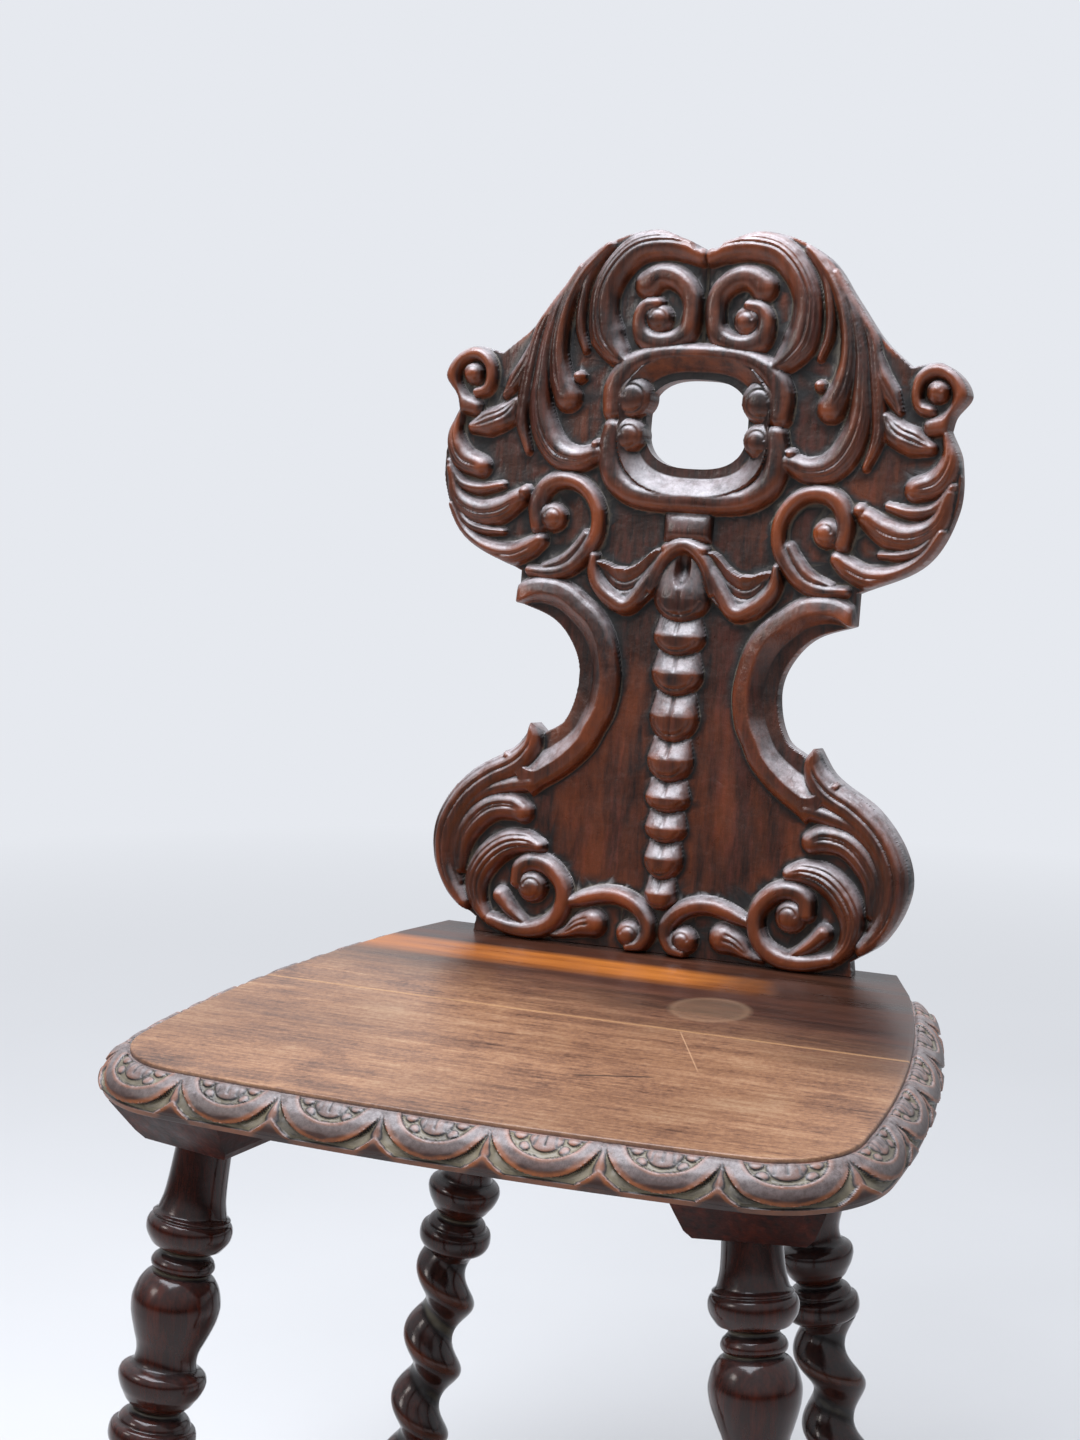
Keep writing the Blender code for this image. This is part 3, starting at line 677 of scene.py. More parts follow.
@dataclass(frozen=True)
class WornSeatWalnut:
    """Walnut plank, once stained dark and waxed, worn bare and brown by sitting; its grain runs across.

    Attributes:
        joint_y: Place of the glue joint, in millimetres of the row frame.
        name: The finish's common name.
        bare: Colours of the bare wood, from the grain's dark lines to the light ones.
        stain: Colours under the whole stain of the carved edge.
        kept_stain: Colours of the stain that is left on the field.
        strip: Colours of the bare strip before the back.
        ring_at: Middle of the glass's ring, in metres.
        ring_radius: Its radius, in metres.
    """

    joint_y: float
    name: str = "worn_waxed_walnut_seat"
    bare: tuple = ((0.4, "3c2519"), (0.465, "73503a"), (0.525, "946c4e"), (0.61, "b59372"))
    stain: tuple = ((0.34, "180d0a"), (0.52, "331c15"), (0.66, "502d20"))
    kept_stain: tuple = ((0.35, "1d0f0c"), (0.65, "4a281c"))
    strip: tuple = ((0.35, "8a4a1c"), (0.65, "c4762f"))
    ring_at: Point = (0.068, 0.053, SEAT_TOP * MM)
    ring_radius: float = 0.022

    def make(self) -> bpy.types.Material:
        """Build the material.

        Returns:
            The material.
        """
        material, graph = new_material(self.name)
        place = graph.place()
        depth = graph.axes(place)[1]
        carved = graph.attribute("carved")
        _, bent = graph.grained(place, (0.09, 1.0, 1.0), 16.0, (0.01, 0.012, 0.01))
        fine, broad = graph.noise(bent, 420.0, 6.0, 0.7), graph.noise(bent, 60.0, 6.0, 0.66)
        mottle, specks = graph.noise(place, 14.0, 8.0, 0.68), graph.noise(place, 330.0, 4.0, 0.8)
        total = graph.math("MULTIPLY", fine, 0.25)
        for value, share in ((specks, 0.2), (broad, 0.2), (mottle, 0.35)):
            total = graph.math("MULTIPLY_ADD", value, share, total)
        field = self.aged(graph, graph.ramp(total, self.bare), place, broad)
        edge = self.edged(graph, graph.ramp(total, self.stain), mottle, specks)
        # The wax is whole behind the sitter and worn matt in the front.
        rough = graph.math("ADD", graph.spread(broad, 0.3, 0.7, -0.05, 0.07),
                           graph.spread(depth, -0.12, 0.1, 0.43, 0.29))
        marks = graph.noise(place, 210.0, 3.0)
        normal = graph.bump(graph.math("MULTIPLY_ADD", marks, carved, fine), 0.2 * MM, 0.4)
        graph.waxed({"Base Color": graph.mix(carved, field, edge), "Roughness": rough,
                     "Coat Weight": 0.1, "Coat Roughness": 0.28, "Normal": normal})
        return material

    def edged(self, graph: Graph, colour: Socket, mottle: Socket, specks: Socket) -> Socket:
        """Wear and dust the stained edge by its carving, paint shade into its hollows and a pale sheen with
        dust on its faces that look up.

        Args:
            graph: The material's nodes.
            colour: The stain's colour.
            mottle: Value of the broad patches.
            specks: Value of the fine specks.

        Returns:
            The edge's colour.
        """
        ridge, recess = graph.attribute("ridge"), graph.attribute("recess")
        rubbed = graph.spread(graph.math("MULTIPLY", ridge, mottle), 0.3, 0.6, 0.0, 0.65)
        colour = graph.mix(rubbed, colour, "a05c30")
        # Painted shade in the carving's hollows.
        colour = graph.mix(graph.spread(recess, 0.04, 0.5, 0.0, 0.94), colour, "1e1816", "MULTIPLY")
        dusty = graph.spread(graph.math("MULTIPLY", recess, mottle), 0.34, 0.56, 0.0, 0.5)
        colour = graph.mix(dusty, colour, "a09478")
        # Pale dust and a painted sheen on the faces that look up, kept out of the hollows.
        dust_and_sheen = graph.math("MULTIPLY", graph.spread(graph.upward(), 0.3, 0.85, 0.0, 0.62),
                           graph.spread(specks, 0.35, 0.62, 0.3, 0.85))
        dust_and_sheen = graph.math("MULTIPLY", dust_and_sheen, graph.spread(recess, 0.1, 0.7, 1.0, 0.15))
        return graph.mix(dust_and_sheen, colour, "a39a98")

    def aged(self, graph: Graph, colour: Socket, place: Socket, broad: Socket) -> Socket:
        """Add the unworn stain near the back, the bare strip, the glue line, ring mark and scratches.

        Args:
            graph: The material's nodes.
            colour: The worn wood's colour.
            place: Object coordinates.
            broad: Broad grain value.

        Returns:
            The aged colour.
        """
        across, depth, _ = graph.axes(place)
        cloud = graph.noise(place, 7.0, 6.0, 0.62)
        # The stain is whole behind the sitter and gone in the front, with a cloudy border.
        sway = graph.math("MULTIPLY_ADD", across, 0.22, graph.math("MULTIPLY_ADD", cloud, 0.07, depth))
        kept = graph.spread(sway, 0.035, 0.115, 0.0, 0.94)
        colour = graph.mix(kept, colour, graph.ramp(broad, self.kept_stain))
        colour = graph.mix(graph.spread(cloud, 0.46, 0.64, 0.0, 0.4), colour, "927a6a", "MULTIPLY")
        # The wood is darker towards the right.
        shade = graph.math("MULTIPLY", graph.spread(sway, -0.03, 0.1, 0.0, 0.4),
                           graph.spread(across, 0.04, 0.2))
        colour = graph.mix(shade, colour, "8a7466", "MULTIPLY")
        strip = graph.math("MULTIPLY", graph.spread(depth, 0.088, 0.1),
                           graph.spread(depth, 0.12, 0.128, 1.0, 0.0))
        side = graph.math("MULTIPLY_ADD", cloud, 0.25, across)
        strip = graph.math("MULTIPLY", strip, graph.spread(side, 0.14, 0.24, 0.78, 0.0))
        colour = graph.mix(strip, colour, graph.ramp(broad, self.strip))
        away = graph.math("ABSOLUTE", graph.math("SUBTRACT", depth, self.joint_y * MM))
        colour = graph.mix(graph.spread(away, 0.0005, 0.0016, 0.5, 0.0), colour, "c79a6c")
        colour = self.ring_mark(graph, colour, place)
        colour = self.scratch(graph, colour, place, ((38.0, -90.0), (80.0, -75.0)), 1.5, "2a1a14", 0.9)
        return self.scratch(graph, colour, place, ((65.0, 8.0), (98.0, -58.0)), 0.5, "d0a680", 0.5)

    def ring_mark(self, graph: Graph, colour: Socket, place: Socket) -> Socket:
        """Add the pale ring that a wet glass left.

        Args:
            graph: The material's nodes.
            colour: The colour so far.
            place: Object coordinates.

        Returns:
            The colour with the ring.
        """
        length = graph.vector("LENGTH", graph.vector("SUBTRACT", place, self.ring_at))
        off = graph.math("SUBTRACT", length, self.ring_radius)
        colour = graph.mix(graph.spread(off, -0.004, 0.002, 0.16, 0.0), colour, "a98a6c")
        line = graph.spread(graph.math("ABSOLUTE", off), 0.0005, 0.004, 0.2, 0.0)
        return graph.mix(line, colour, "a98a6c")

    def scratch(self, graph: Graph, colour: Socket, place: Socket, ends: Knots, width: float, ink: str,
                amount: float) -> Socket:
        """Draw one straight scratch on the seat.

        Args:
            graph: The material's nodes.
            colour: The colour so far.
            place: Object coordinates.
            ends: Its two ends, in millimetres.
            width: Width in millimetres.
            ink: Its colour.
            amount: Its strength.

        Returns:
            The colour with the scratch.
        """
        start, end = ends
        middle = ((start[0] + end[0]) / 2 * MM, (start[1] + end[1]) / 2 * MM, 0.0)
        turn = math.atan2(end[1] - start[1], end[0] - start[0])
        half = math.hypot(end[0] - start[0], end[1] - start[1]) / 2 * MM
        local = graph.out("ShaderNodeVectorRotate", {
            "Vector": graph.vector("SUBTRACT", place, middle), "Angle": -turn}, rotation_type="Z_AXIS")
        along, off = (graph.math("ABSOLUTE", part) for part in graph.axes(local)[:2])
        inked = graph.math("MULTIPLY", graph.spread(off, width * MM * 0.3, width * MM, amount, 0.0),
                           graph.spread(along, half * 0.8, half, 1.0, 0.0))
        return graph.mix(inked, colour, ink)


# Hand-carved from dark stained walnut: nearly black in the ground, orange-brown where hands rub it and, as
# painted warm light, on its undersides; pale with dust and painted sheen on the faces that look up.
CARVED_WALNUT = WaxedWood(
    "dark_waxed_carved_walnut", GrainAxis.UPRIGHT, "160b09", "33190f", "48231a", "984a20", "857a68",
    grain=1.6, roughness=0.33, coat=0.35, tool_marks=0.17, wear=0.75, dirt_and_shade=1.1, streaks=0.26, dust_and_sheen=0.85)
# Turned and friction-polished walnut: deep red-brown under a glossy wax, so lamps show as crisp lights.
TURNED_WALNUT = WaxedWood(
    "polished_turned_walnut", GrainAxis.UPRIGHT, "1b0805", "2c0f08", "42170b", "8c451f", "8d8264",
    grain=1.8, roughness=0.16, coat=0.24, tool_marks=0.04, wear=0.5, dirt_and_shade=0.9, dust_and_sheen=0.05, sheen=0.27)
# Sawn and scraped batten wood under old red stain: dull, with an even straight grain.
BATTEN_WALNUT = WaxedWood(
    "stained_batten_walnut", GrainAxis.DEPTH, "1a0805", "330f07", "4a190b", "8c451f", "6f6553",
    grain=2.2, roughness=0.42, coat=0.0, wear=0.4, sheen=0.18)
# Riven pegs and wedges, never stained: pale, dry and straight-grained.
PEG_OAK = WaxedWood(
    "dry_riven_oak", GrainAxis.UPRIGHT, "5d4630", "83684a", "a08660", "b39a74", "6f6553",
    grain=1.2, roughness=0.6, coat=0.0, wear=0.3)


# Carved back


class Cut(Enum):
    """How a strand of the carving is shaped across its width."""

    BAND = "band"
    LEAF = "leaf"
    SHELL = "shell"


# How much wider each cut is laid than its path says, so that neighbours touch
WIDEN = {Cut.BAND: 1.14, Cut.LEAF: 1.06, Cut.SHELL: 1.06}


@dataclass(frozen=True)
class Strand:
    """One carved strand: its line, its half width along it and its section.

    Attributes:
        cut: The section.
        path: Points with their places across and up the board and the half width, in millimetres.
        rise: Height at the start, the middle and the end, in millimetres.
        flutes: Where grooves run, from minus one on the right of the line to one on its left.
        lean: Share by which the left side stands higher than the right.
    """

    cut: Cut
    path: list[Point]
    rise: tuple[float, float, float] = (8.0, 9.2, 8.6)
    flutes: tuple[float, ...] = ()
    lean: float = 0.0


# The right half's outline from its top to its foot, and whether each point is a corner
SILHOUETTE = [
    (0, 438, True), (13, 444, True), (38, 450.6, False), (75, 437, False), (97, 410, False),
    (115, 387, False), (134, 371, True), (154, 373.5, False), (170.5, 357, False), (162, 342, False),
    (160, 334, True), (168, 316, False), (168, 285, False), (151, 253, False), (111, 233, True),
    (111, 213, True), (85, 203, False), (70, 185, False), (66, 166, False), (73, 141, False),
    (87, 131, True), (94, 137.5, True), (106, 121, False), (135, 102, False), (154, 77, False),
    (158, 53, False), (145, 24, False), (125, 9, True), (127.7, -8, True),
]
# The waist's opening, and its corners
WAIST = [(116, 215), (111, 213), (85, 203), (70, 185), (66, 166), (73, 141), (87, 131), (90, 133)]
WAIST_CORNERS = [True, True, False, False, False, False, True, True]
# The arris of the moulding round it
MOULDING = [(112, 210), (100, 217.8), (90, 219), (80, 216.7), (70, 210), (60, 202), (53.5, 191), (50, 178),
            (48.5, 166), (51, 150), (56, 140), (61, 130), (70, 120), (80, 112), (90, 105.6), (98, 99)]

STRANDS = [
    # Thin leaves that lie lowest
    Strand(Cut.LEAF, [(64, 440, 2), (76, 424, 3), (81, 405, 3.5), (81.5, 388, 3.5), (77, 374, 2.5)],
           (4, 6, 5)),
    Strand(Cut.LEAF, [(95, 412, 2.5), (108, 388, 4), (113, 365, 4.5), (116, 345, 5), (117, 328, 4.5),
           (111, 309, 2.5)], (5, 7.4, 6), (0.0,)),
    Strand(Cut.LEAF, [(110, 384, 2.5), (116, 366, 5), (123, 354, 5.5), (129.5, 343.5, 2)], (5, 7.4, 6),
           (0.0,)),
    Strand(Cut.LEAF, [(165, 300, 2.5), (156, 287, 3.5), (142, 283.5, 4), (127, 286.5, 2.5)], (6, 7.4, 6.4)),
    Strand(Cut.LEAF, [(160, 275, 2.5), (150, 262, 3), (138, 257.5, 3), (124, 257, 2)], (6, 7.2, 6)),
    Strand(Cut.LEAF, [(92, 99, 5.5), (103, 97, 5.5), (121, 91, 4.5), (135, 79, 4.5), (141.5, 64, 4),
           (142.5, 48, 3.5), (137, 30, 3)], (9, 7.6, 6)),
    # Ring round the hand hole
    Strand(Cut.BAND, [(55, 337, 6.5), (54.5, 350, 7.5), (49, 361, 7), (39, 368.5, 6), (24, 373, 5.6),
           (0, 374.5, 5.2), (-12, 374.3, 5.2)], (9.4, 9.8, 9.4)),
    Strand(Cut.BAND, [(54, 326, 6), (55, 310, 7.5), (50, 295, 7.6), (38, 286, 7), (22, 283, 6.6),
           (0, 283, 6.6), (-12, 283, 6.6)], (9.4, 9.8, 9.4)),
    # Crest
    Strand(Cut.LEAF, [(3, 434, 6), (14, 440, 9), (30, 441.5, 9), (46, 438, 9), (58, 427, 9), (65.5, 412, 9),
           (66.5, 398, 9.5), (63.5, 384, 11), (56, 373, 8), (47, 366, 3)], (8.4, 9.8, 9), (0.15, 0.45, 0.7),
           0.08),
    Strand(Cut.BAND, [(38, 416, 8), (30, 421.5, 7), (19, 420, 6.6), (9.5, 411, 6.2), (7.5, 398, 6),
           (11, 386, 6), (24, 380, 6.2), (37, 383, 6.4), (41, 393, 5.2), (38, 402, 4.4), (30, 404, 4)],
           (8.6, 9.0, 9)),
    # Leaves that hang from the crest
    Strand(Cut.LEAF, [(66, 440, 3), (80, 425, 4.5), (89, 408, 5), (94, 390, 5.5), (95, 372, 6),
           (92, 356, 7.5), (86.5, 344, 9)], (6, 8.6, 9.4), (0.2, 0.55)),
    Strand(Cut.LEAF, [(84, 426, 3), (97, 402, 4.5), (103, 380, 5), (105, 360, 6), (105, 340, 7.5),
           (100, 322, 9), (90, 309, 9), (76, 305.5, 7.5), (63, 310, 6)], (6, 8.8, 9.2), (0.1, 0.4, 0.65)),
    # Ear
    Strand(Cut.BAND, [(150, 335, 5), (161, 339, 6), (167, 352, 5.5), (162.5, 365, 4.8), (152, 369.5, 4.2),
           (142.5, 365, 3.8), (139.5, 355, 3.4), (142, 347, 3.2), (148.5, 344.5, 3)], (7.6, 9, 8.6)),
    Strand(Cut.LEAF, [(121, 340, 3), (128, 331, 8), (139, 326, 8.5), (150, 322.5, 4)], (6, 8.8, 7.4),
           (0.0, 0.4)),
    # Leaves of the side
    Strand(Cut.LEAF, [(160, 331, 3), (162.5, 317, 5.5), (156, 303, 8), (143, 297.5, 7)], (7, 8.8, 9),
           (0.1, 0.5)),
    Strand(Cut.LEAF, [(164, 296, 3), (157, 277, 6), (143, 269, 8), (128, 270.5, 8.5), (114, 279, 6)],
           (7, 9, 9), (0.1, 0.4, 0.65)),
    Strand(Cut.LEAF, [(161, 272, 3), (152, 256, 5), (137, 245.5, 6.5), (118, 243, 7), (105, 248, 6.5),
           (98, 253, 5)], (7, 8.8, 9), (0.1, 0.5)),
    # Scroll beside the shell
    Strand(Cut.BAND, [(100, 262, 5), (101.5, 275, 5.5), (95, 288, 5.5), (82, 292, 4.5), (69, 287, 4.5),
           (60.5, 275, 4.5), (59.5, 261, 4.5), (65, 249, 4.5), (75, 238, 4.5), (88, 233, 4),
           (104, 233.5, 3)], (9, 9.4, 7)),
    Strand(Cut.LEAF, [(67, 258, 3.5), (72, 250, 4), (81, 241, 4), (95, 236, 2.5)], (6, 7.6, 6)),
    # Shell: a cup inside a rounded lip
    Strand(Cut.SHELL, [(17, 246, 6), (28, 231, 10.5), (42, 225.5, 13), (55, 236, 6)], (7.8, 8.2, 7.8)),
    Strand(Cut.BAND, [(12, 249, 2.5), (20, 236.5, 4), (27, 225.5, 4.8), (36, 215.5, 4.8), (47, 219.5, 4.8),
           (56, 227, 4.6), (60, 236, 4.2), (60, 245, 2.6)], (8.4, 9.8, 8.6)),
    # Hood over the first husk
    Strand(Cut.BAND, [(-12, 252.5, 3.6), (0, 255.5, 4.2), (10, 250, 4.2), (17, 239, 3.8), (20, 227, 2.6)],
           (10, 10.6, 8.8)),
    # Leaves of the foot
    Strand(Cut.LEAF, [(94, 139, 2), (93, 125, 6), (102, 112, 9), (121, 101, 9.5), (137, 87, 9.5),
           (147.5, 68, 9), (149.5, 50, 7.5), (145, 33, 7.5), (134, 18, 6)], (9.6, 9.8, 8.4), (0.62, 0.05)),
    Strand(Cut.LEAF, [(96, 80, 7), (104, 83, 8.5), (118, 80.5, 8.5), (130, 70, 8), (137, 56, 6.5),
           (137, 40, 4)], (9.2, 9.2, 7), (-0.08, 0.14)),
    Strand(Cut.LEAF, [(83, 59, 4.5), (93, 61, 7), (106, 58, 8.5), (118, 48, 9), (125, 34, 8), (123, 20, 6),
           (117, 11, 4)], (8.8, 9.6, 8), (-0.3, 0.1, 0.5)),
    Strand(Cut.BAND, [(96, 36, 5), (94, 45, 5.5), (84, 49, 5.5), (73, 45, 5.5), (65, 35, 5.2),
           (64.5, 23, 5.2), (71, 12, 5.5), (83, 6, 5.5), (98, 5.5, 5), (113, 9, 4)], (9, 9.4, 8)),
    Strand(Cut.LEAF, [(90, 10, 3), (99, 16, 4.5), (107.5, 25, 5.5)], (7, 8.4, 8.4)),
    Strand(Cut.BAND, [(60, 26, 3), (50, 29.5, 4.5), (38, 33, 5), (26, 33, 5), (13, 27, 5), (6, 16, 5),
           (10, 5.5, 4.5), (18, 2.5, 3)], (7.6, 9, 8.6)),
    Strand(Cut.LEAF, [(43.5, 14.5, 9), (52, 12, 7), (60, 7, 3.5), (70, 4, 2)], (9, 8, 5), (0.0, 0.4)),
]
# Place and radius of each ball; the first two stand in the ring
KNOBS = [(42.5, 346, 13), (43, 322, 10.5), (29, 395, 9), (79, 357, 4), (64, 315, 3.5), (152, 356.5, 7),
         (90, 268, 9), (110, 283, 4.5), (86, 33, 10), (18.5, 10.5, 8.5)]
# Bottom, crown and top of each husk and half its width; the first has a slit
HUSKS = [(208, 223, 254, 19), (187, 199, 211, 17.5), (162, 176, 189, 17.5), (133, 149, 164, 16.5),
         (108, 122, 135, 15.5), (89, 98, 109, 15), (70, 79, 90, 14), (47, 60, 71, 13), (28, 38, 48, 11)]


# How far the moulding's distances are worked out, how wide its bevel is at most, and how deep both
# the bevel and the hand hole's funnel go below the ground
MOULDING_REACH = 26.0
BEVEL_WIDTH = 24.0
BEVEL_FLOOR = -9.5
# Two makes an ellipse, more a squarer shape
OVAL_POWER = 2.7
# A husk taller than this has a line down its belly; the first one's slit is cut with it
TALL_HUSK = 30.0


class ReliefField:
    """Heights of the carving over the board, on a raster in millimetres.

    The raster covers the board's right half; the left half is its mirror image.
    """

    def __init__(self, step: float) -> None:
        """Set up the raster.

        Args:
            step: Distance between its nodes.
        """
        self.step = step
        self.start = -24.0
        self.x = self.start + step * np.arange(int(round((174.0 - self.start) / step)) + 1)
        self.s = -12.0 + step * np.arange(int(round((453.0 + 12.0) / step)) + 1)
        self.grid_x, self.grid_s = np.meshgrid(self.x, self.s)
        self.height = np.zeros(self.grid_x.shape)

    def window(self, axis: np.ndarray, middle: float, reach: float) -> slice:
        """Return the stretch of an axis that lies within reach of its middle."""
        low = max(0, int((middle - reach - axis[0]) / self.step))
        return slice(low, max(low, int((middle + reach - axis[0]) / self.step) + 2))

    def near(self, line: np.ndarray, reach: float | np.ndarray,
             weights: float | np.ndarray = 1.0) -> tuple[np.ndarray, np.ndarray]:
        """Find the nearest sample of a line for every node close to it.

        Args:
            line: Samples of the line, across and up.
            reach: How far from each sample a node may be.
            weights: What each sample's distance is divided by.

        Returns:
            The smallest weighted distance and the number of its sample, for every node.
        """
        best = np.full(self.height.shape, np.inf)
        which = np.zeros(self.height.shape, dtype=np.int32)
        reach, weights = (np.broadcast_to(values, len(line)) for values in (reach, weights))
        for number, (place, far, weight) in enumerate(zip(line, reach, weights)):
            cols, rows = self.window(self.x, place[0], far), self.window(self.s, place[1], far)
            away = (self.x[None, cols] - place[0]) ** 2 + (self.s[rows, None] - place[1]) ** 2
            away = away / weight**2
            closer = away < best[rows, cols]
            best[rows, cols][closer] = away[closer]
            which[rows, cols][closer] = number
        return np.sqrt(best), which

    def beside(self, line: np.ndarray, ways: np.ndarray, hit: np.ndarray, k: np.ndarray) -> np.ndarray:
        """Return how far to the left of a line's samples the hit nodes lie.

        Args:
            line: Samples of the line, across and up.
            ways: The line's direction at each sample.
            hit: Which nodes are asked for.
            k: The number of each such node's sample.

        Returns:
            Distances in millimetres, below nought to the right.
        """
        return (ways[k, 0] * (self.grid_s[hit] - line[k, 1])
                - ways[k, 1] * (self.grid_x[hit] - line[k, 0]))

    def lay(self, strand: Strand) -> None:
        """Lay one strand over what is there.

        Args:
            strand: The strand.
        """
        points = np.array(strand.path, dtype=float)
        line, ways = catmull(points, [False] * len(points), 0.8)
        widths = np.maximum(line[:, 2] * WIDEN[strand.cut], 0.6)
        away, which = self.near(line, widths * 1.15 + 1.0, widths)
        hit = away < 1.0
        k = which[hit]
        side = np.sign(self.beside(line, ways, hit, k)) * away[hit]
        along = k / max(len(line) - 1, 1)
        high = np.interp(along, (0.0, 0.5, 1.0), strand.rise)
        made = high * self.section(strand, side, along, widths[k])
        self.height[hit] = np.maximum(self.height[hit], made)

    def section(self, strand: Strand, side: np.ndarray, along: np.ndarray, width: np.ndarray) -> np.ndarray:
        """Return the share of the full height across a strand.

        Args:
            strand: The strand.
            side: Place across it, minus one to one.
            along: Place along it, nought to one.
            width: Its half width there, in millimetres.

        Returns:
            Height as a share of the rise.
        """
        edge = np.abs(side)
        fade = np.clip(np.minimum(along / 0.12, (1 - along) / 0.15), 0.0, 1.0)
        if strand.cut is Cut.BAND:
            return np.clip(1 - edge**2.8, 0, 1) ** 0.5
        if strand.cut is Cut.SHELL:
            arcs = sum(np.exp(-(((side - at) * width / 0.7) ** 2)) for at in (-0.45, -0.05, 0.35))
            return 0.42 + 0.5 * edge**2.2 - 0.13 * arcs * fade
        body = np.clip(1 - edge**2.4, 0, 1) ** 0.55 * (1 + strand.lean * side)
        grooves = sum((np.exp(-np.abs((side - at) * width / 0.75) ** 1.5) for at in strand.flutes),
                      np.zeros_like(side))
        return body - 0.15 * grooves * fade * np.clip((1 - edge) * 4, 0, 1)

    def knob(self, x: float, s: float, radius: float) -> None:
        """Set a ball with a snail line cut into it.

        Args:
            x: Place across.
            s: Place up the board.
            radius: Its radius.
        """
        dx, ds = self.grid_x - x, self.grid_s - s
        away = np.hypot(dx, ds) / radius
        turn = (np.arctan2(ds, dx) / (2 * math.pi)) % 1.0
        made = (3.0 + 7.2 * np.clip(1 - away**2, 0, 1) ** 0.5) * (away < 1)
        snail = np.exp(-(((away - 0.42 - 0.42 * turn) * radius / 0.7) ** 2)) * (0.9 if radius > 6 else 0.3)
        made = np.where(away < 1, made - snail, 0.0)
        self.height = np.maximum(self.height, made)

    def husk(self, low: float, crown: float, high: float, wide: float) -> None:
        """Set one husk of the hanging string: a cap that looks up and a round belly under it.

        Args:
            low: Its bottom.
            crown: Where the cap meets the belly.
            high: Its top, under the husk above.
            wide: Half its width.
        """
        share = np.interp(self.grid_s, (low, crown, high), (0.0, 1.0, 2.0))
        belly = np.clip(1.0 - share, 0.0, 1.0)
        half = wide * np.sqrt(np.clip(1 - belly**2, 0.0, 1.0)) * np.interp(share, (1.0, 2.0), (1.0, 0.8))
        side = np.abs(self.grid_x) / np.maximum(half, 0.01)
        inside = (self.grid_s > low) & (self.grid_s < high) & (side < 1)
        top = np.interp(share, (0.0, 0.12, 0.45, 0.95, 1.12, 2.0), (6.0, 8.6, 10.2, 10.8, 10.2, 3.4))
        made = top * np.clip(1 - side**3, 0, 1) ** 0.5
        rim = np.hypot(self.grid_x / wide, belly)
        made = made - 1.0 * np.exp(-(((rim - 0.72) * wide / 0.7) ** 2)) * (share < 0.9)
        if high - low > TALL_HUSK:
            slit = np.hypot(self.grid_x / 4.4, (self.grid_s - 240.0) / 9.5)
            made = made - 6.5 * np.clip(1.2 - slit, 0, 1) ** 0.7
            made = made - 1.1 * np.exp(-((self.grid_x / 0.9) ** 2)) * (self.grid_s < 233)
        else:
            made = made - 1.0 * np.exp(-((self.grid_x / 0.9) ** 2)) * (share > 1.08)
        self.height = np.where(inside, np.maximum(self.height, made), self.height)

    def carve(self) -> None:
        """Cut the whole relief: ground, mouldings, bevels, strands, husks, knobs and edges."""
        self.height += 0.18 * ripple(self.grid_x, self.grid_s, 26.0, 3)
        self.bound()
        self.moulding()
        self.height = np.where(self.rim_oval < 1, self.funnel, self.height)
        for strand in STRANDS:
            self.lay(strand)
        for husk in HUSKS[::-1]:
            self.husk(*husk)
        # The block under the ring, from which the husks hang
        block = np.clip(1 - (np.abs(self.grid_x) / 15.7) ** 6, 0, 1)
        block = block * np.clip(1 - np.abs((self.grid_s - 267) / 9.5) ** 3, 0, 1)
        self.height = np.maximum(self.height, 8.6 * np.sqrt(block) * (0.66 + 0.34 * (276 - self.grid_s) / 19))
        for knob in KNOBS:
            self.knob(*knob)
        seam = 1.8 * np.exp(-((self.grid_x / 1.1) ** 2)) * ((self.grid_s > 380) & (self.grid_s < 440))
        self.height = self.height - seam
        notch = np.hypot((np.abs(self.grid_x) - 5.5) / 5.5, (self.grid_s - 446.0) / 8.0)
        self.height = np.where(notch < 1, np.minimum(self.height, -5.0 + 10.0 * notch**2), self.height)
        self.height += 0.06 * ripple(self.grid_x, self.grid_s, 9.0, 5) * (self.height > 2.0)
        middle = self.middle()
        right = self.height[:, middle + 1:2 * middle + 1]
        np.maximum(right, self.height[:, middle - 1::-1], out=right)
        self.height = blurred(self.height, 0.42 / self.step)
        self.rounded()

    def bound(self) -> None:
        """Work out the distances to the outline, the waist's opening and the hand hole."""
        points = np.array([(x, s, 0.0) for x, s, _ in SILHOUETTE])
        line, ways = catmull(points, [corner for _, _, corner in SILHOUETTE], 0.5)
        line = line[:, :2]
        away, which = self.near(line, 8.0)
        dx, ds = self.grid_x - line[which, 0], self.grid_s - line[which, 1]
        straight = np.abs(ways[which, 0] * ds - ways[which, 1] * dx)
        along = np.abs(ways[which, 0] * dx + ways[which, 1] * ds)
        away = np.where(np.isfinite(away) & (along < 0.6), straight, np.minimum(away, 12.0))
        self.edge = np.where(self.within(line), -away, away)
        self.hole, self.rim_oval = self.oval(34, 303, 358.5), self.oval(50, 285.5, 372.5)
        share = np.clip((self.hole - 1) / np.maximum((self.hole - 1) + (1 - self.rim_oval), 1e-6), 0, 1)
        self.funnel = BEVEL_FLOOR + 18.9 * share**0.9
        hole = (1 - self.hole) / np.maximum(np.hypot(*np.gradient(self.hole, self.step)), 1e-4)
        # The balls of the ring stand into the hole, and its edge follows them.
        for x, s, radius in KNOBS[:2]:
            hole = np.minimum(hole, np.hypot(self.grid_x - x, self.grid_s - s) - radius + 0.6)
        self.edge = np.maximum(self.edge, np.clip(hole, -12, 12))
        waist = np.array([(x, s, 0.0) for x, s in WAIST], dtype=float)
        line, _ = catmull(waist, WAIST_CORNERS, 0.6)
        self.from_waist, _ = self.near(line, MOULDING_REACH)

